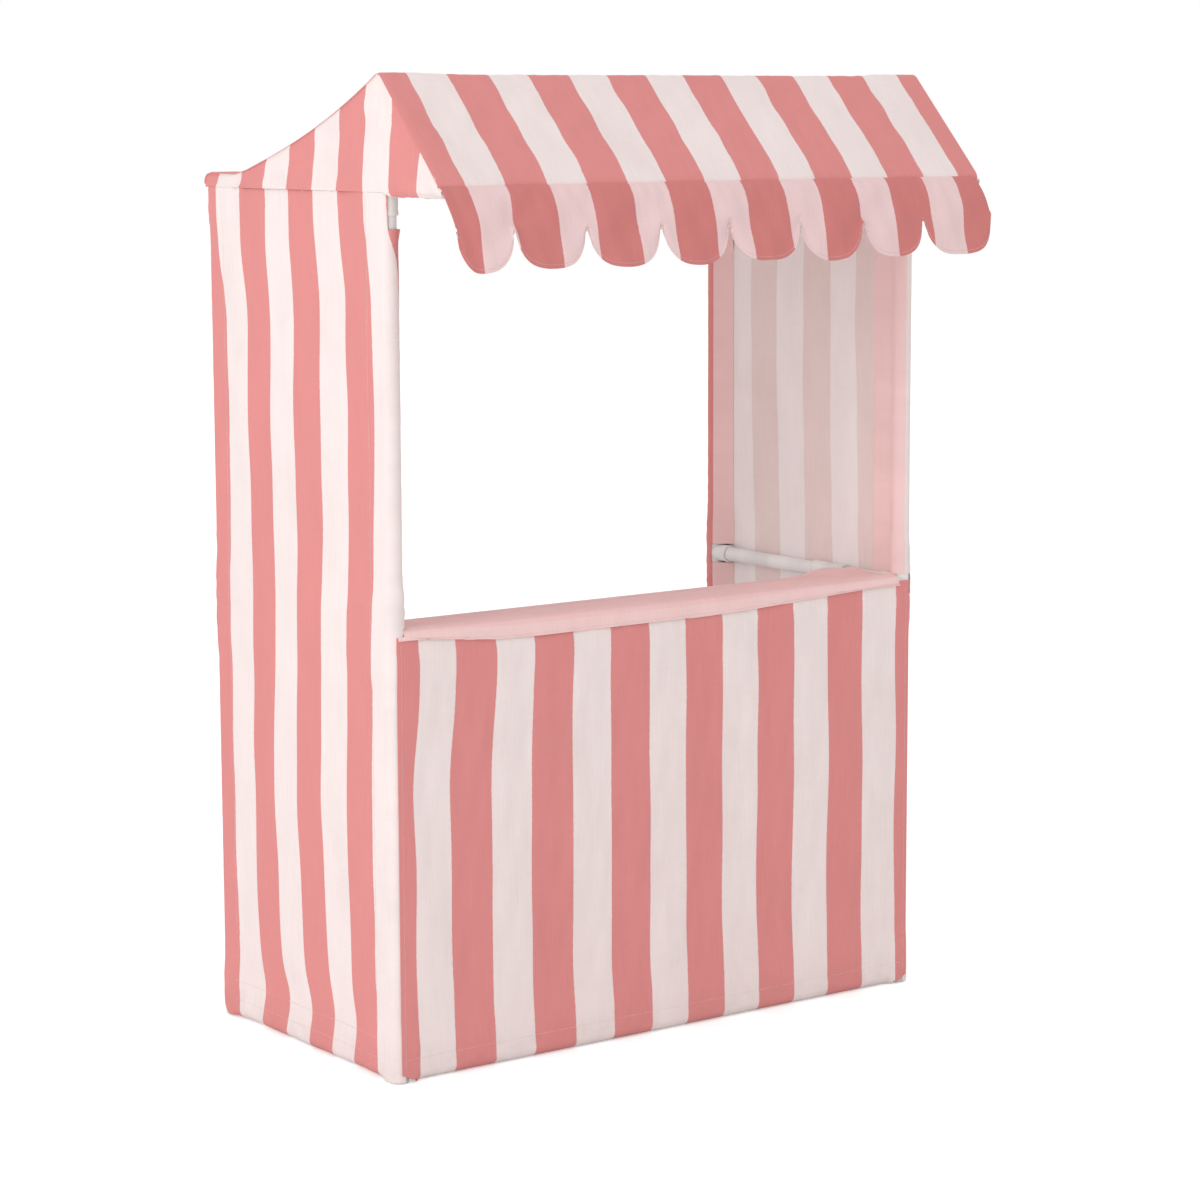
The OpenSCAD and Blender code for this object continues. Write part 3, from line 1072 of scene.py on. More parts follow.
@dataclass
class FrontPanel(Cover):
    """The apron below the counter, with a hem round the front base rail."""

    name: str = "front_apron_cloth"
    replaced: tuple[str, ...] = ("front_panel",)
    rests_on: tuple[str, ...] = ("counter_bar_front", "base_rail_front")
    facing: int = -1
    half: float = 0.4225
    top_z: float = 0.5740
    hem_stitch: float = 0.031
    hem_edge: float = 0.037
    side_hem: float = 0.006
    first_rose: float = -0.459
    pitch: float = 0.0613

    def __post_init__(self) -> None:
        """Lays out the line that the cloth is folded along."""
        s = self.stall
        self.drop = hem_line(s, self.top_z, self.hem_stitch, self.hem_edge, self.tuck)
        self.inner = s.post_x - 0.018
        self.v_base = self.drop.lengths[1]
        self.v_cut = self.v_base + math.radians(45) * s.wrap_r

    def threads(self) -> tuple[Array, Array]:
        """Places across and along the cloth at which the grid has threads."""
        across = spread(np.array([-self.half, -self.inner, self.inner, self.half]), 6 * MM)
        return across, self.drop.stations(6.5 * MM, [self.v_cut])

    def fold(self, u: Array, v: Array) -> Array:
        """Where the cloth lies before it is creased."""
        s = self.stall
        recess, z = self.drop.at(v)
        side = smooth(np.abs(u), s.post_x - 0.030, s.post_x - 0.012)
        low, high = (smooth(np.abs(z - rail), 0.075, 0.037) for rail in (s.base_z, s.counter_z))
        level = np.maximum(low, high)
        out = s.wrap_r + side * 1.2 * MM * level - (1 - level) * 0.7 * MM * (1 - side)
        recess = recess * (1 - side)
        corner = smooth(np.abs(u), self.half - 0.016, self.half) * smooth(z, 0.03, 0.0)
        z = z + 0.008 * corner
        return np.stack([u + 0 * v, s.front_y - out + recess, z], axis=-1)

    def relief(self, u: Array, v: Array) -> Array:
        """How far creases lift the cloth from there."""
        z = self.top_z - v
        inside = smooth(np.abs(u), self.half, self.half - 0.05)
        free = smooth(z, 0.05, 0.12) * smooth(z, 0.56, 0.50)
        billow = ripples(u, v, 0.15, 0.40, 1.4 * MM, 71) + ripples(u, v, 0.05, 0.18, 0.45 * MM, 72)
        lift = inside * free * billow
        pucker = ripples(u, v, 0.020, 0.06, 0.32 * MM, 73)
        lift = lift + pucker * (smooth(z, 0.09, 0.03) + smooth(z, 0.50, 0.56))
        lift = lift - 0.4 * MM * bump(z, self.hem_stitch, 3 * MM)
        lift = lift - 1.3 * MM * smooth(z, 0.546, 0.556)
        return np.where(v > self.v_base, 0.15 * lift, lift)

    def drift(self, u: Array, v: Array) -> Array:
        """The print's place across the stripes, from the first edge of a rose stripe."""
        z = self.top_z - v
        wander = ripples(u, v, 0.5, 0.3, 0.9 * MM, 74) - 0.005 * smooth(z, 0.15, 0.0)
        leaning = smooth(-u, 0.05, 0.30) * (0.0103 * smooth(z, 0.36, 0.54) - 0.0072)
        leaning = leaning + 0.005 * smooth(-u, 0.34, 0.40)
        return (u - self.first_rose + wander - leaning) * STRIPE_W / self.pitch

    def kept(self, u: Array, v: Array) -> Array:
        """True on the squares, given by their middles, that the cut keeps."""
        return ~((np.abs(u) > self.inner) & (v > self.v_cut))

    def rows(self) -> list[Array]:
        """Lines of stitches, each as places (u, v) along it."""
        across = np.arange(-self.half + 0.010, self.half - 0.008, STITCH_STEP)
        down = np.arange(0.012, self.top_z - 0.02, STITCH_STEP)
        return [
            row(across, self.top_z - self.hem_stitch),
            row(-self.half + self.side_hem, down),
            row(self.half - self.side_hem, down),
        ]


@dataclass
class CounterCover(Cover):
    """The plain cloth of the counter, from a lip over the front bar to a hem round the back bar."""

    name: str = "counter_cloth"
    replaced: tuple[str, ...] = ("counter_cover",)
    slot: str = "plain_cloth"
    rests_on: tuple[str, ...] = ("counter_bar_front", "counter_bar_back")
    half: float = 0.4205
    inner: float = 0.4035
    cheek: float = 0.4112
    lip_low: float = 0.5570
    band: float = 0.0165
    tunnel: float = 0.028

    def __post_init__(self) -> None:
        """Lays out the line that the cloth is folded along."""
        s, r = self.stall, self.stall.wrap_r
        tilt = math.atan2(s.counter_z - s.back_bar_z, s.tee_y - s.front_y)
        tuck = self.tuck
        turn = tangent_angle(r, self.tunnel, tuck)
        lip_r = r + 1.3 * MM
        over = arc((s.front_y, s.counter_z), lip_r, 180, 135) + arc(
            (s.front_y, s.counter_z), r, 105, 90 - math.degrees(tilt)
        )
        loop = arc((s.tee_y, s.back_bar_z), r, 90 - math.degrees(tilt), turn - 270 - math.degrees(tilt))
        along, up = (math.cos(tilt), -math.sin(tilt)), (math.sin(tilt), math.cos(tilt))
        tail = [
            (s.tee_y - along[0] * d + up[0] * tuck, s.back_bar_z - along[1] * d + up[1] * tuck)
            for d in (self.tunnel, self.tunnel + 0.006)
        ]
        self.line = Path([(s.front_y - lip_r, self.lip_low), *over, *loop, *tail])
        self.v_top = self.line.lengths[len(over)]
        self.v_back = self.line.lengths[len(over) + 1]
        self.v_loop = self.v_back + math.pi / 2 * r
        self.v_ear = self.line.lengths[1] + 0.3 * lip_r
        self.v_cheek = self.line.lengths[1] + 1.15 * lip_r

    def threads(self) -> tuple[Array, Array]:
        """Places across and along the cloth at which the grid has threads."""
        across = spread(np.array([-self.half, -self.cheek, -self.inner, self.inner, self.half]), 6 * MM)
        return across, self.line.stations(5 * MM, [self.v_ear, self.v_cheek, *np.arange(0.012, 0.032, 0.002)])

    def kept(self, u: Array, v: Array) -> Array:
        """True on the squares, given by their middles, that the cut keeps."""
        ear = np.where(u < -self.cheek, self.v_ear, self.v_cheek)
        return ~((np.abs(u) > self.inner) & ((v > ear) | (u > 0)))

    def drawn_up(self, u: Array) -> Array:
        """How much higher the lip's edge is toward its ends."""
        return 0.0125 * np.where(u < 0, smooth(-u, 0.23, 0.42), smooth(u, 0.05, 0.42))

    def seam_at(self, u: Array) -> Array:
        """The place along the cloth of the seam between the lip and the top."""
        return self.band + 0.8 * self.drawn_up(u)

    def fold(self, u: Array, v: Array) -> Array:
        """Where the cloth lies before it is creased."""
        y, z = self.line.at(v)
        z = z + self.drawn_up(u) * smooth(v, self.stall.counter_z - self.lip_low, 0.0)
        return np.stack([u + 0 * v, y, z], axis=-1)

    def plain(self, u: Array, v: Array) -> Array:
        """Above 0.5 on the lip's band, which the cloth's strip colour paints a little lighter than the top:
        painted light, for the lip that faces the light while the top lies in shade.
        """
        return np.clip(0.5 + (self.seam_at(u) - v) / 0.008, 0, 1)

    def top_relief(self, u: Array, v: Array) -> Array:
        """How far creases lift the lip and the top.

        Args:
            u: places across the cloth.
            v: places along it.

        Returns:
            Heights, positive outwards.
        """
        top = smooth(v, self.v_top, self.v_top + 0.03) * smooth(v, self.v_back, self.v_back - 0.03)
        mid = smooth(np.abs(u), self.half - 0.03, self.half - 0.08)
        sag = -2.5 * MM * top * (1 - (u / self.half) ** 2)
        billow = ripples(u, v, 0.10, 0.09, 0.6 * MM, 81) + ripples(u, v, 0.03, 0.07, 0.25 * MM, 82)
        bars = np.maximum(bump(v, self.v_top, 0.014), bump(v, self.v_back, 0.016))
        lip = ripples(u, v, 0.035, 0.05, 0.5 * MM, 83) * smooth(v, self.v_top, 0.0)
        over_tee = 7 * MM * smooth(np.abs(u), 0.350, 0.398) * smooth(v, self.v_top + 0.01, self.v_top + 0.09)
        over_tee = over_tee * smooth(v, self.v_back + 0.012, self.v_back - 0.004)
        ear = 0.5 * MM * smooth(np.abs(u), 0.400, 0.408)
        seam = -0.5 * MM * bump(v, self.seam_at(u), FURROW)
        lip = lip * smooth(v, 0.03, 0.015)
        return sag + top * billow - 1.4 * MM * mid * bars + lip + over_tee + ear + seam

    def relief(self, u: Array, v: Array) -> Array:
        """How far creases lift the cloth from there; the tunnel's flap follows the top over it."""
        s = self.stall
        y = self.line.at(v)[0]
        under = v > self.v_loop
        over = np.where(under, self.v_back - (s.tee_y - y), v)
        lift = self.top_relief(u, over)
        follow = smooth(s.tee_y - y, 0.006, 0.018)
        return np.where(under, -follow * (lift + FLAP_GAP), lift)

    def rows(self) -> list[Array]:
        """Lines of stitches, each as places (u, v) along it."""
        across = np.arange(-self.inner + 0.006, self.inner - 0.006, STITCH_STEP)
        return [
            row(across, 0.0035),
            row(across, self.v_back - self.tunnel),
        ]


# ------------------------------------------------------------------------- finishes


def linear(red: float, green: float, blue: float) -> tuple[float, float, float, float]:
    """Turns a colour written in screen values from 0 to 255 into a linear one."""
    parts = [c / 255 for c in (red, green, blue)]
    parts = [c / 12.92 if c <= 0.04045 else ((c + 0.055) / 1.055) ** 2.4 for c in parts]
    return (*parts, 1.0)


class Nodes:
    """Adds nodes to a tree and joins them up."""

    def __init__(self, tree: bpy.types.NodeTree) -> None:
        """Works on the tree given."""
        self.tree = tree

    def add(self, kind: str, sockets: dict | None = None, **settings) -> bpy.types.Node:
        """Adds a node.

        Args:
            kind: the node's type.
            sockets: values or sockets for its inputs, by name or index.
            settings: its other properties.

        Returns:
            The node.
        """
        node = self.tree.nodes.new(kind)
        for name, value in settings.items():
            setattr(node, name, value)
        for name, value in (sockets or {}).items():
            self.put(node.inputs[name], value)
        return node

    def put(self, target: Socket, value) -> None:
        """Sets an input, or joins it to an output."""
        if isinstance(value, Socket):
            self.tree.links.new(value, target)
        else:
            target.default_value = value

    def math(self, operation: str, *values) -> Socket:
        """Adds a Math node and gives its output."""
        node = self.add("ShaderNodeMath", dict(enumerate(values)), operation=operation)
        return node.outputs[0]

    def remap(self, value, low: float, high: float, out_low: float = 0.0, out_high: float = 1.0):
        """Maps a value from one range to another along a smooth step."""
        node = self.add("ShaderNodeMapRange", interpolation_type="SMOOTHSTEP")
        for index, part in enumerate((value, low, high, out_low, out_high)):
            self.put(node.inputs[index], part)
        return node.outputs[0]

    def mix(self, factor, first, second, blend: str = "MIX") -> Socket:
        """Mixes two colours and gives the output."""
        node = self.add("ShaderNodeMix", data_type="RGBA", blend_type=blend)
        self.put(node.inputs[0], factor)
        self.put(node.inputs[6], first)
        self.put(node.inputs[7], second)
        return node.outputs[2]

    def noise(self, place, scale: float, detail: float = 2.0, rough: float = 0.5) -> Socket:
        """Adds a Noise Texture and gives its value."""
        sockets = {"Vector": place, "Scale": scale, "Detail": detail, "Roughness": rough}
        return self.add("ShaderNodeTexNoise", sockets).outputs[0]

    def stretch(self, place, scale: Place) -> Socket:
        """Scales a place by a different amount each way."""
        return self.add("ShaderNodeMapping", {"Vector": place, "Scale": scale}).outputs[0]

    def group(self, tree: bpy.types.NodeTree, sockets: dict) -> bpy.types.Node:
        """Adds one of the shared node groups."""
        return self.add("ShaderNodeGroup", sockets, node_tree=tree)

    def relief(self, surface: bpy.types.Node, strength: float, depth: float, height: Socket) -> None:
        """Raises a surface by a height."""
        sockets = {"Strength": strength, "Distance": depth, "Height": height}
        self.put(surface.inputs["Normal"], self.add("ShaderNodeBump", sockets).outputs[0])


def new_group(
    name: str, kind: str, takes: Sequence[tuple[str, str, object]], gives: Sequence[tuple[str, str]]
) -> tuple[bpy.types.NodeTree, Nodes, bpy.types.Node, bpy.types.Node]:
    """Starts a node group with named inputs and outputs.

    Args:
        name: the group's name.
        kind: its tree type.
        takes: its inputs, as name, socket type and default.
        gives: its outputs, as name and socket type.

    Returns:
        The tree, a builder for it, and its input and output nodes.
    """
    tree = bpy.data.node_groups.new(name, kind)
    for label, socket, start in takes:
        made = tree.interface.new_socket(name=label, in_out="INPUT", socket_type=socket)
        if start is not None:
            made.default_value = start
    for label, socket in gives:
        tree.interface.new_socket(name=label, in_out="OUTPUT", socket_type=socket)
    nodes = Nodes(tree)
    return tree, nodes, nodes.add("NodeGroupInput"), nodes.add("NodeGroupOutput")


def stripe_group() -> bpy.types.NodeTree:
    """Printed stripes: a mask that is 1 on the rose ones."""
    tree, n, takes, gives = new_group(
        "printed_stripes",
        "ShaderNodeTree",
        [
            ("Print", "NodeSocketVector", None),
            ("Stripe width", "NodeSocketFloat", STRIPE_W),
            ("Edge blur", "NodeSocketFloat", 0.0005),
            ("Spread", "NodeSocketFloat", 0.0006),
        ],
        [("Rose", "NodeSocketFloat"), ("Edge", "NodeSocketFloat")],
    )
    across = n.add("ShaderNodeSeparateXYZ", {0: takes.outputs["Print"]}).outputs[0]
    fine = n.noise(n.stretch(takes.outputs["Print"], (900, 160, 1)), 1.0, 2.0)
    bleed = n.math("MULTIPLY", n.math("SUBTRACT", fine, 0.5), 0.0016)
    turns = n.math("DIVIDE", n.math("ADD", across, bleed), takes.outputs["Stripe width"])
    wave = n.math("SINE", n.math("MULTIPLY", turns, math.pi))
    blur, ink = (
        n.math("DIVIDE", n.math("MULTIPLY", takes.outputs[label], math.pi), takes.outputs["Stripe width"])
        for label in ("Edge blur", "Spread")
    )
    limits = {0: n.math("ADD", wave, ink), 1: n.math("MULTIPLY", blur, -1.0), 2: blur}
    rose = n.add("ShaderNodeMapRange", limits).outputs[0]
    n.put(gives.inputs["Rose"], rose)
    from_edge = n.math("ABSOLUTE", n.math("MULTIPLY_ADD", rose, 2.0, -1.0))
    n.put(gives.inputs["Edge"], n.math("SUBTRACT", 1.0, from_edge))
    return tree


def weave_group() -> bpy.types.NodeTree:
    """Plain-woven cotton with thick and thin threads: a height and a tone."""
    tree, n, takes, gives = new_group(
        "woven_cotton",
        "ShaderNodeTree",
        [
            ("Print", "NodeSocketVector", None),
            ("Threads per metre", "NodeSocketFloat", 1500.0),
            ("Slub", "NodeSocketFloat", 0.5),
        ],
        [("Height", "NodeSocketFloat"), ("Tone", "NodeSocketFloat")],
    )
    place = takes.outputs["Print"]
    parts = n.add("ShaderNodeSeparateXYZ", {0: place})
    rate = n.math("MULTIPLY", takes.outputs["Threads per metre"], math.pi)
    warp = n.math("SINE", n.math("MULTIPLY", parts.outputs[0], rate))
    weft = n.math("SINE", n.math("MULTIPLY", parts.outputs[1], rate))
    check = n.math("MULTIPLY", warp, weft)
    long_slub = n.noise(n.stretch(place, (620, 16, 1)), 1.0, 3.0, 0.6)
    cross_slub = n.noise(n.stretch(place, (18, 700, 1)), 1.0, 2.0, 0.55)
    cloud = n.noise(n.stretch(place, (22, 9, 1)), 1.0, 3.0)
    streak = n.math("MULTIPLY_ADD", long_slub, 0.75, n.math("MULTIPLY", cross_slub, 0.25))
    centred = n.math("MULTIPLY", n.math("SUBTRACT", streak, 0.5), takes.outputs["Slub"])
    tone = n.math("ADD", n.math("MULTIPLY_ADD", n.math("SUBTRACT", cloud, 0.5), 0.10, 1.0), centred)
    n.put(gives.inputs["Tone"], n.math("MULTIPLY_ADD", check, 0.012, tone))
    n.put(gives.inputs["Height"], n.math("MULTIPLY_ADD", check, 0.22, n.math("MULTIPLY", streak, 0.9)))
    return tree


def soil_group() -> bpy.types.NodeTree:
    """Handling and floor dust: a mask that gathers low down and in patches."""
    tree, n, takes, gives = new_group(
        "handling_and_dust",
        "ShaderNodeTree",
        [("Place", "NodeSocketVector", None), ("Floor height", "NodeSocketFloat", 0.05)],
        [("Soil", "NodeSocketFloat"), ("Patch", "NodeSocketFloat")],
    )
    place = takes.outputs["Place"]
    height = n.add("ShaderNodeSeparateXYZ", {0: place}).outputs[2]
    patch = n.remap(n.noise(place, 9.0, 4.0, 0.6), 0.45, 0.75)
    low = n.math("SUBTRACT", 1.0, n.math("DIVIDE", height, takes.outputs["Floor height"]))
    low = n.add("ShaderNodeClamp", {0: low}).outputs[0]
    fleck = n.remap(n.noise(place, 60.0, 3.0, 0.65), 0.40, 0.80)
    n.put(gives.inputs["Soil"], n.math("MULTIPLY", low, n.math("MULTIPLY_ADD", fleck, 0.7, 0.3)))
    n.put(gives.inputs["Patch"], patch)
    return tree


@dataclass(frozen=True)
class Groups:
    """The shader node groups that the finishes share."""

    stripes: bpy.types.NodeTree
    weave: bpy.types.NodeTree
    soil: bpy.types.NodeTree

    @classmethod
    def made(cls) -> "Groups":
        """Builds the groups once."""
        return cls(stripe_group(), weave_group(), soil_group())


def shader(name: str, sockets: dict) -> tuple[bpy.types.Material, Nodes, bpy.types.Node]:
    """Starts a material with one principled shader.

    Args:
        name: the material's name.
        sockets: what the shader's plain inputs are set to.

    Returns:
        The material, a builder for its tree, and the shader's node.
    """
    made = bpy.data.materials.new(name)
    made.use_nodes = True
    made.node_tree.nodes.clear()
    n = Nodes(made.node_tree)
    surface = n.add("ShaderNodeBsdfPrincipled", sockets)
    out = n.add("ShaderNodeOutputMaterial")
    n.put(out.inputs["Surface"], surface.outputs[0])
    return made, n, surface


@dataclass(frozen=True)
class ClothFinish:
    """A printed or plain cotton."""

    name: str
    pale: Colour
    rose: Colour
    # The colour of a sewn-on plain strip; on the counter's plain cloth it is the lip band's colour, painted a
    # little lighter as light falling on the lip.
    strip: Colour = (249, 215, 213)
    slub: float = 0.20
    spread: float = 0.0006
    roughness: float = 0.88
    sheen: float = 0.06
    weave_depth: float = 0.00022

    def material(self, groups: Groups) -> bpy.types.Material:
        """Builds the cloth's material.

        Args:
            groups: the shared node groups.

        Returns:
            The material.
        """
        plain = {"Sheen Weight": self.sheen, "Sheen Roughness": 0.5, "Specular IOR Level": 0.25}
        made, n, surface = shader(self.name, plain)
        cloth = n.add("ShaderNodeUVMap", uv_map="cloth").outputs[0]
        place = n.add("ShaderNodeTexCoord").outputs["Object"]
        stripes = n.group(groups.stripes, {"Print": cloth, "Spread": self.spread})
        weave = n.group(groups.weave, {"Print": cloth, "Slub": self.slub})
        soil = n.group(groups.soil, {"Place": place})
        # The plain mask gives the strip colour to the plain strips sewn into the sleeves, and on the counter
        # to the lip band, where the lighter colour is painted light.
        sewn = n.add("ShaderNodeAttribute", attribute_name="plain").outputs["Fac"]
        print_colour = n.mix(stripes.outputs["Rose"], linear(*self.pale), linear(*self.rose))
        colour = n.mix(n.math("GREATER_THAN", sewn, 0.5), print_colour, linear(*self.strip))
        tone = n.add("ShaderNodeCombineColor", dict.fromkeys(range(3), weave.outputs["Tone"]))
        colour = n.mix(1.0, colour, tone.outputs[0], "MULTIPLY")
        colour = n.mix(n.math("MULTIPLY", soil.outputs["Soil"], 0.22), colour, linear(150, 128, 118))
        colour = n.mix(n.math("MULTIPLY", soil.outputs["Patch"], 0.07), colour, linear(200, 150, 136))
        n.put(surface.inputs["Base Color"], colour)
        rough = n.math("MULTIPLY_ADD", weave.outputs["Tone"], 0.10, self.roughness - 0.10)
        n.put(surface.inputs["Roughness"], rough)
        n.relief(surface, 0.55, self.weave_depth, weave.outputs["Height"])
        return made


@dataclass(frozen=True)
class ClothPair:
    """The two faces of a cloth."""

    outside: bpy.types.Material
    inside: bpy.types.Material


@dataclass(frozen=True)
class ThreadFinish:
    """Sewing thread."""

    name: str
    colour: Colour

    def material(self) -> bpy.types.Material:
        """Builds the thread's material, with its twist."""
        made, n, surface = shader(self.name, {"Sheen Weight": 0.1})
        place = n.add("ShaderNodeTexCoord").outputs["Object"]
        twist = n.noise(place, 900.0, 2.0)
        dark = linear(*(round(c * 0.84) for c in self.colour))
        colour = n.mix(n.remap(twist, 0.35, 0.65), dark, linear(*self.colour))
        n.put(surface.inputs["Base Color"], colour)
        n.put(surface.inputs["Roughness"], n.math("MULTIPLY_ADD", twist, 0.15, 0.62))
        n.relief(surface, 0.4, 0.0001, twist)
        return made


@dataclass(frozen=True)
class HardFinish:
    """Painted tube or moulded plastic."""

    name: str
    colour: Colour
    roughness: float
    coat: float
    grain: float
    scuff: float

    def material(self, groups: Groups) -> bpy.types.Material:
        """Builds the hard part's material: faint mottling, fine orange peel, scuffs and dust.

        Args:
            groups: the shared node groups.

        Returns:
            The material.
        """
        made, n, surface = shader(self.name, {"Coat Weight": self.coat, "Coat Roughness": 0.25})
        place = n.add("ShaderNodeTexCoord").outputs["Object"]
        peel = n.noise(place, self.grain, 2.0)
        mottle = n.noise(place, 14.0, 3.0)
        scratch = n.remap(n.noise(n.stretch(place, (1.0, 1.0, 0.25)), 160.0, 4.0, 0.7), 0.60, 0.72)
        soil = n.group(groups.soil, {"Place": place})
        base = linear(*self.colour)
        dull = linear(*[round(c * 0.93) for c in self.colour])
        colour = n.mix(n.remap(mottle, 0.35, 0.70), base, dull)
        colour = n.mix(n.math("MULTIPLY", scratch, self.scuff), colour, linear(176, 170, 162))
        colour = n.mix(n.math("MULTIPLY", soil.outputs["Soil"], 0.35), colour, linear(150, 140, 130))
        n.put(surface.inputs["Base Color"], colour)
        worn = n.math("MULTIPLY_ADD", soil.outputs["Patch"], 0.10, self.roughness)
        n.put(surface.inputs["Roughness"], n.math("MULTIPLY_ADD", scratch, 0.15, worn))
        n.relief(surface, 0.25, 0.0002, peel)
        return made


# ------------------------------------------------------------------------- stitching


@dataclass
class Stitcher:
    """Sets stitches of one thread along rows, and makes them one plain mesh."""

    thread: bpy.types.Material
    pitch: float = 0.0034
    length: float = 0.0025
    thickness: float = 0.00065
    proud: float = 0.00022
    seed: int = 7

    def __post_init__(self) -> None:
        """Builds the node tree once."""
        self.tree = self.stitch_tree()

    def stitch_tree(self) -> bpy.types.NodeTree:
        """A tree that lays a small spindle at even steps along every line of a mesh."""
        tree, n, takes, gives = new_group(
            "stitches_along_rows",
            "GeometryNodeTree",
            [
                ("Rows", "NodeSocketGeometry", None),
                ("Pitch", "NodeSocketFloat", 0.003),
                ("Stitch length", "NodeSocketFloat", 0.002),
                ("Thread thickness", "NodeSocketFloat", 0.0005),
                ("Seed", "NodeSocketInt", 0),
                ("Thread", "NodeSocketMaterial", None),
            ],
            [("Stitches", "NodeSocketGeometry")],
        )
        tree.is_modifier = True
        line = n.add("GeometryNodeMeshToCurve", {"Mesh": takes.outputs["Rows"]})
        spots = n.add("GeometryNodeCurveToPoints", {"Curve": line.outputs[0]}, mode="LENGTH")
        n.put(spots.inputs["Length"], takes.outputs["Pitch"])
        ball = n.add("GeometryNodeMeshUVSphere", {"Segments": 6, "Rings": 4, "Radius": 0.5})
        size = n.add("ShaderNodeCombineXYZ")
        for axis, label in enumerate(("Thread thickness", "Thread thickness", "Stitch length")):
            n.put(size.inputs[axis], takes.outputs[label])
        spindle = n.add("GeometryNodeTransform", {"Geometry": ball.outputs[0], "Scale": size.outputs[0]})
        uneven = n.add("FunctionNodeRandomValue", data_type="FLOAT")
        n.put(uneven.inputs[2], 0.85)
        n.put(uneven.inputs[3], 1.12)
        n.put(uneven.inputs["Seed"], takes.outputs["Seed"])
        laid = n.add(
            "GeometryNodeInstanceOnPoints",
            {
                "Points": spots.outputs["Points"],
                "Instance": spindle.outputs[0],
                "Rotation": spots.outputs["Rotation"],
                "Scale": uneven.outputs[1],
            },
        )
        real = n.add("GeometryNodeRealizeInstances", {0: laid.outputs[0]})
        sockets = {"Geometry": real.outputs[0], "Material": takes.outputs["Thread"]}
        dressed = n.add("GeometryNodeSetMaterial", sockets)
        n.put(gives.inputs["Stitches"], dressed.outputs[0])
        return tree

    def sew(self, cover: Cover) -> bpy.types.Object | None:
        """Sews a cover's rows.

        Args:
            cover: the cover, whose rows of stitches are laid on its outer face.

        Returns:
            The stitches' object, or None where the cover has no rows.
        """
        points, edges = [], []
        for row in cover.rows():
            start = len(points)
            proud = self.proud * cover.facing_way(cover.outer, row[:, 0], row[:, 1])
            points += (cover.outer(row[:, 0], row[:, 1]) + proud).tolist()
            edges += [(i, i + 1) for i in range(start, len(points) - 1)]
        if not points:
            return None
        lines = bpy.data.meshes.new(cover.name + "_rows")
        lines.from_pydata(points, edges, [])
        carrier = bpy.data.objects.new(cover.name + "_rows", lines)
        bpy.context.scene.collection.objects.link(carrier)
        worked = carrier.modifiers.new("stitches", "NODES")
        worked.node_group = self.tree
        values = {
            "Pitch": self.pitch,
            "Stitch length": self.length,
            "Thread thickness": self.thickness,
            "Seed": self.seed,
            "Thread": self.thread,
        }
        for item in self.tree.interface.items_tree:
            if item.in_out == "INPUT" and item.name in values:
                worked[item.identifier] = values[item.name]
        deps = bpy.context.evaluated_depsgraph_get()
        mesh = bpy.data.meshes.new_from_object(carrier.evaluated_get(deps))
        carrier.modifiers.clear()
        bpy.data.objects.remove(carrier)
        mesh.name = cover.name + "_stitches"
        mesh.polygons.foreach_set("use_smooth", np.ones(len(mesh.polygons), bool))
        piece = bpy.data.objects.new(mesh.name, mesh)
        bpy.context.scene.collection.objects.link(piece)
        return piece


# ---------------------------------------------------------------------------- studio


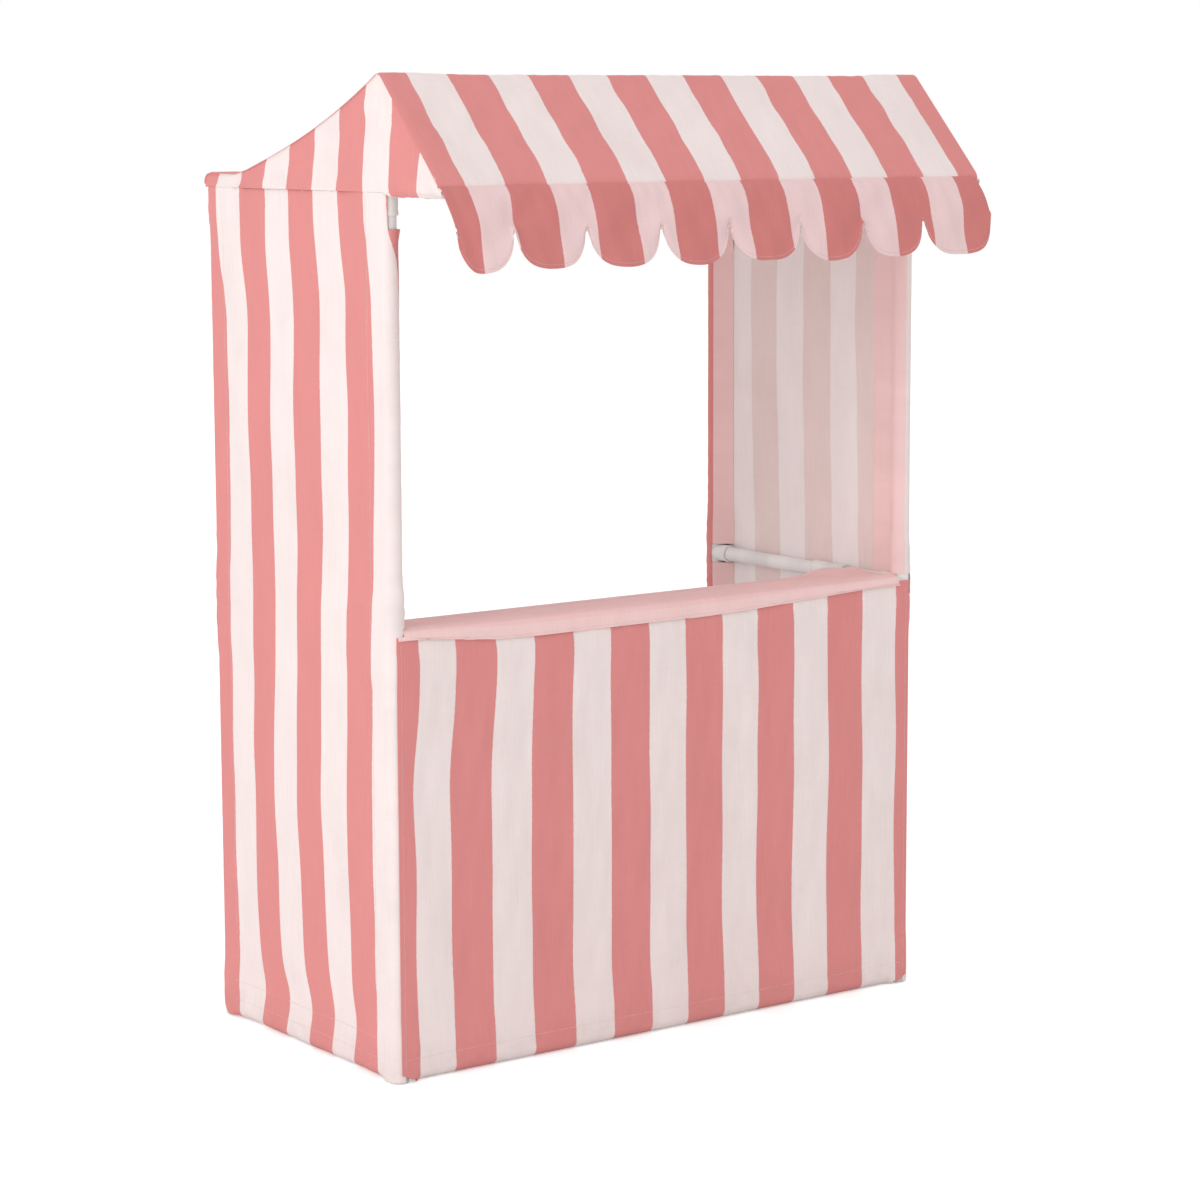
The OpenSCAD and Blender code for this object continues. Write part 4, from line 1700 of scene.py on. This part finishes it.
@dataclass
class Studio:
    """A pale floor, soft light and the camera."""

    eye: tuple[float, float, float] = (-2.634, -3.6107, 1.223)
    yaw: float = 36.09
    pitch: float = 8.35
    roll: float = -0.21
    lens: float = 100.2
    sky: float = 0.85
    tint: tuple[float, float, float] = (1.0, 0.975, 0.97)
    key: float = 0.265

    def camera(self) -> None:
        """Sets up the scene's camera."""
        yaw, pitch, roll = (math.radians(a) for a in (self.yaw, self.pitch, self.roll))
        ahead = Vector((math.sin(yaw) * math.cos(pitch), math.cos(yaw) * math.cos(pitch), -math.sin(pitch)))
        right = Vector((math.cos(yaw), -math.sin(yaw), 0))
        up = right.cross(ahead)
        across = right * math.cos(roll) + up * math.sin(roll)
        upward = up * math.cos(roll) - right * math.sin(roll)
        data = bpy.data.cameras.new("camera")
        data.lens, data.sensor_width = self.lens, 36
        data.clip_start, data.clip_end = 0.05, 60
        made = bpy.data.objects.new("camera", data)
        turn = Matrix((across, upward, -ahead)).transposed().to_4x4()
        made.matrix_world = Matrix.Translation(self.eye) @ turn
        bpy.context.scene.collection.objects.link(made)
        bpy.context.scene.camera = made

    def floor(self) -> None:
        """Lays a wide pale floor that shows as white and keeps the object's shadow."""
        mesh = bpy.data.meshes.new("floor")
        wide = 14.0
        corners = [(-wide, -wide, 0), (wide, -wide, 0), (wide, wide, 0), (-wide, wide, 0)]
        mesh.from_pydata(corners, [], [(0, 1, 2, 3)])
        plain = {"Base Color": (0.86, 0.86, 0.86, 1), "Roughness": 0.9, "Specular IOR Level": 0.0}
        made, n, surface = shader("pale_floor", {**plain, "Emission Color": (1, 1, 1, 1)})
        seen = n.add("ShaderNodeLightPath").outputs["Is Camera Ray"]
        n.put(surface.inputs["Emission Strength"], n.math("MULTIPLY", seen, 0.42))
        mesh.materials.append(made)
        laid = bpy.data.objects.new("floor", mesh)
        bpy.context.scene.collection.objects.link(laid)

    def light(self) -> None:
        """Sets the soft light that surrounds the stall and a broad lamp on its left."""
        world = bpy.data.worlds.new("soft_light")
        world.use_nodes = True
        world.node_tree.nodes.clear()
        n = Nodes(world.node_tree)
        path = n.add("ShaderNodeLightPath")
        seen = n.math("ADD", path.outputs["Is Camera Ray"], path.outputs["Is Glossy Ray"])
        seen = n.math("MINIMUM", n.math("ADD", seen, path.outputs["Is Transmission Ray"]), 1.0)
        sky = n.add("ShaderNodeBackground", {"Color": (*self.tint, 1), "Strength": self.sky})
        white = n.add("ShaderNodeBackground", {"Color": (1, 1, 1, 1), "Strength": 1.0})
        both = n.add("ShaderNodeMixShader", {0: seen, 1: sky.outputs[0], 2: white.outputs[0]})
        out = n.add("ShaderNodeOutputWorld")
        n.put(out.inputs["Surface"], both.outputs[0])
        bpy.context.scene.world = world
        self.lamp("broad_left", (-3.6, -1.2, 1.7), (0, 0, 0.6), 2.6, self.key)

    def lamp(
        self, name: str, place: Place, target: Place, size: float, level: float
    ) -> None:
        """Adds a square lamp.

        Args:
            name: its name.
            place: where it stands.
            target: what it faces.
            size: the length of its sides.
            level: the light it gives at its target, where 1 lights a surface as bright as its colour.
        """
        data = bpy.data.lights.new(name, "AREA")
        data.shape, data.size = "SQUARE", size
        away = Vector(place) - Vector(target)
        data.energy = level * math.pi * math.pi * away.length_squared
        made = bpy.data.objects.new(name, data)
        made.matrix_world = Matrix.Translation(place) @ away.to_track_quat("Z", "Y").to_matrix().to_4x4()
        bpy.context.scene.collection.objects.link(made)


# ---------------------------------------------------------------------- the whole stall


def dress_frame(finishes: dict[str, bpy.types.Material], covered: set[str]) -> None:
    """Gives the frame's own tubes and connectors their finishes.

    Args:
        finishes: materials by the record's slot name.
        covered: nodes that a cover stands for.
    """
    slots = node_slots()
    for name in sorted(slots):
        if name in covered:
            continue
        shown = bpy.data.objects[name]
        finish = finishes[slots[name]]
        if not shown.material_slots:
            shown.data.materials.append(finish)
        for place in shown.material_slots:
            place.material = finish
        log.info("finish %s on %s", finish.name, name)


def node_slots() -> dict[str, str]:
    """The material slot for each node of the frame, told from the node's name."""
    slots = {}
    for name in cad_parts:
        joint = "corners" in name or "joints" in name or "tees" in name
        slots[name] = "connector" if joint else "tube"
    return slots


def covers(stall: Stall) -> list[Cover]:
    """The stall's cloth covers, in the order in which they are put on."""
    return [
        SidePanel(stall, side=Side.LEFT, first_rose=-0.103, break_from=118),
        SidePanel(stall, side=Side.RIGHT, first_rose=-0.087, strip_turn=100),
        FrontPanel(stall),
        CounterCover(stall),
        Gable(stall, side=Side.LEFT, first_rose=-0.095, pitch=0.0603),
        Gable(stall, side=Side.RIGHT, first_rose=-0.087),
        Roof(stall),
        Valance(stall),
    ]


def main() -> None:
    """Builds the covers, dresses the frame and sets up the studio."""
    logging.basicConfig(level=logging.INFO, format="%(name)s: %(message)s")
    scene = bpy.context.scene
    scene.view_settings.view_transform = "Standard"
    studio = Studio()
    studio.camera()
    studio.floor()
    studio.light()
    stall = Stall.measured()
    groups = Groups.made()
    outside = ClothFinish("striped_cotton", pale=(244, 232, 230), rose=(226, 145, 143))
    # The reverse shows the print faintly, which is the cloth's own colour; its colours are also lighter than
    # that, as painted light for the light that shines through the thin cloth onto its shaded inner face.
    inside = ClothFinish(
        "striped_cotton_reverse_painted_backlight", pale=(248, 241, 240), rose=(239, 221, 217), strip=(246, 211, 207)
    )
    hanging = ClothFinish("striped_cotton_valance", pale=(240, 211, 211), rose=(213, 130, 127), spread=0.0019)
    pink = (246, 206, 204)
    # The strip colour here is the counter lip band's: a little lighter than the top, painted light for the
    # lip that faces the light while the top lies in shade.
    plain = ClothFinish("plain_pink_cotton", pale=pink, rose=pink, strip=(247, 213, 211))
    reverse_painted_backlight, plain_cloth = inside.material(groups), plain.material(groups)
    pairs = {
        CounterCover: ClothPair(plain_cloth, plain_cloth),
        Valance: ClothPair(hanging.material(groups), reverse_painted_backlight),
    }
    striped = ClothPair(outside.material(groups), reverse_painted_backlight)
    thread = ThreadFinish("pale_thread", (246, 223, 220)).material()
    stitcher = Stitcher(thread)
    paint = HardFinish("white_tube_paint", (242, 241, 240), 0.42, 0.15, 420.0, 0.12)
    plastic = HardFinish("white_moulded_plastic", (243, 243, 240), 0.48, 0.05, 700.0, 0.20)
    finishes = {"tube": paint.material(groups), "connector": plastic.material(groups)}
    covered: set[str] = set()
    for cover in covers(stall):
        piece = cover.build()
        stitches = stitcher.sew(cover)
        cover.declare(piece, pairs.get(type(cover), striped), stitches)
        covered.update(cover.replaced)
        log.info(
            "%s: %d faces, flat %.3f x %.3f m, cut %.4f m2",
            cover.name, len(piece.data.polygons), *cover.flat, cover.area,
        )
    dress_frame(finishes, covered)


if __name__ == "__main__":
    main()
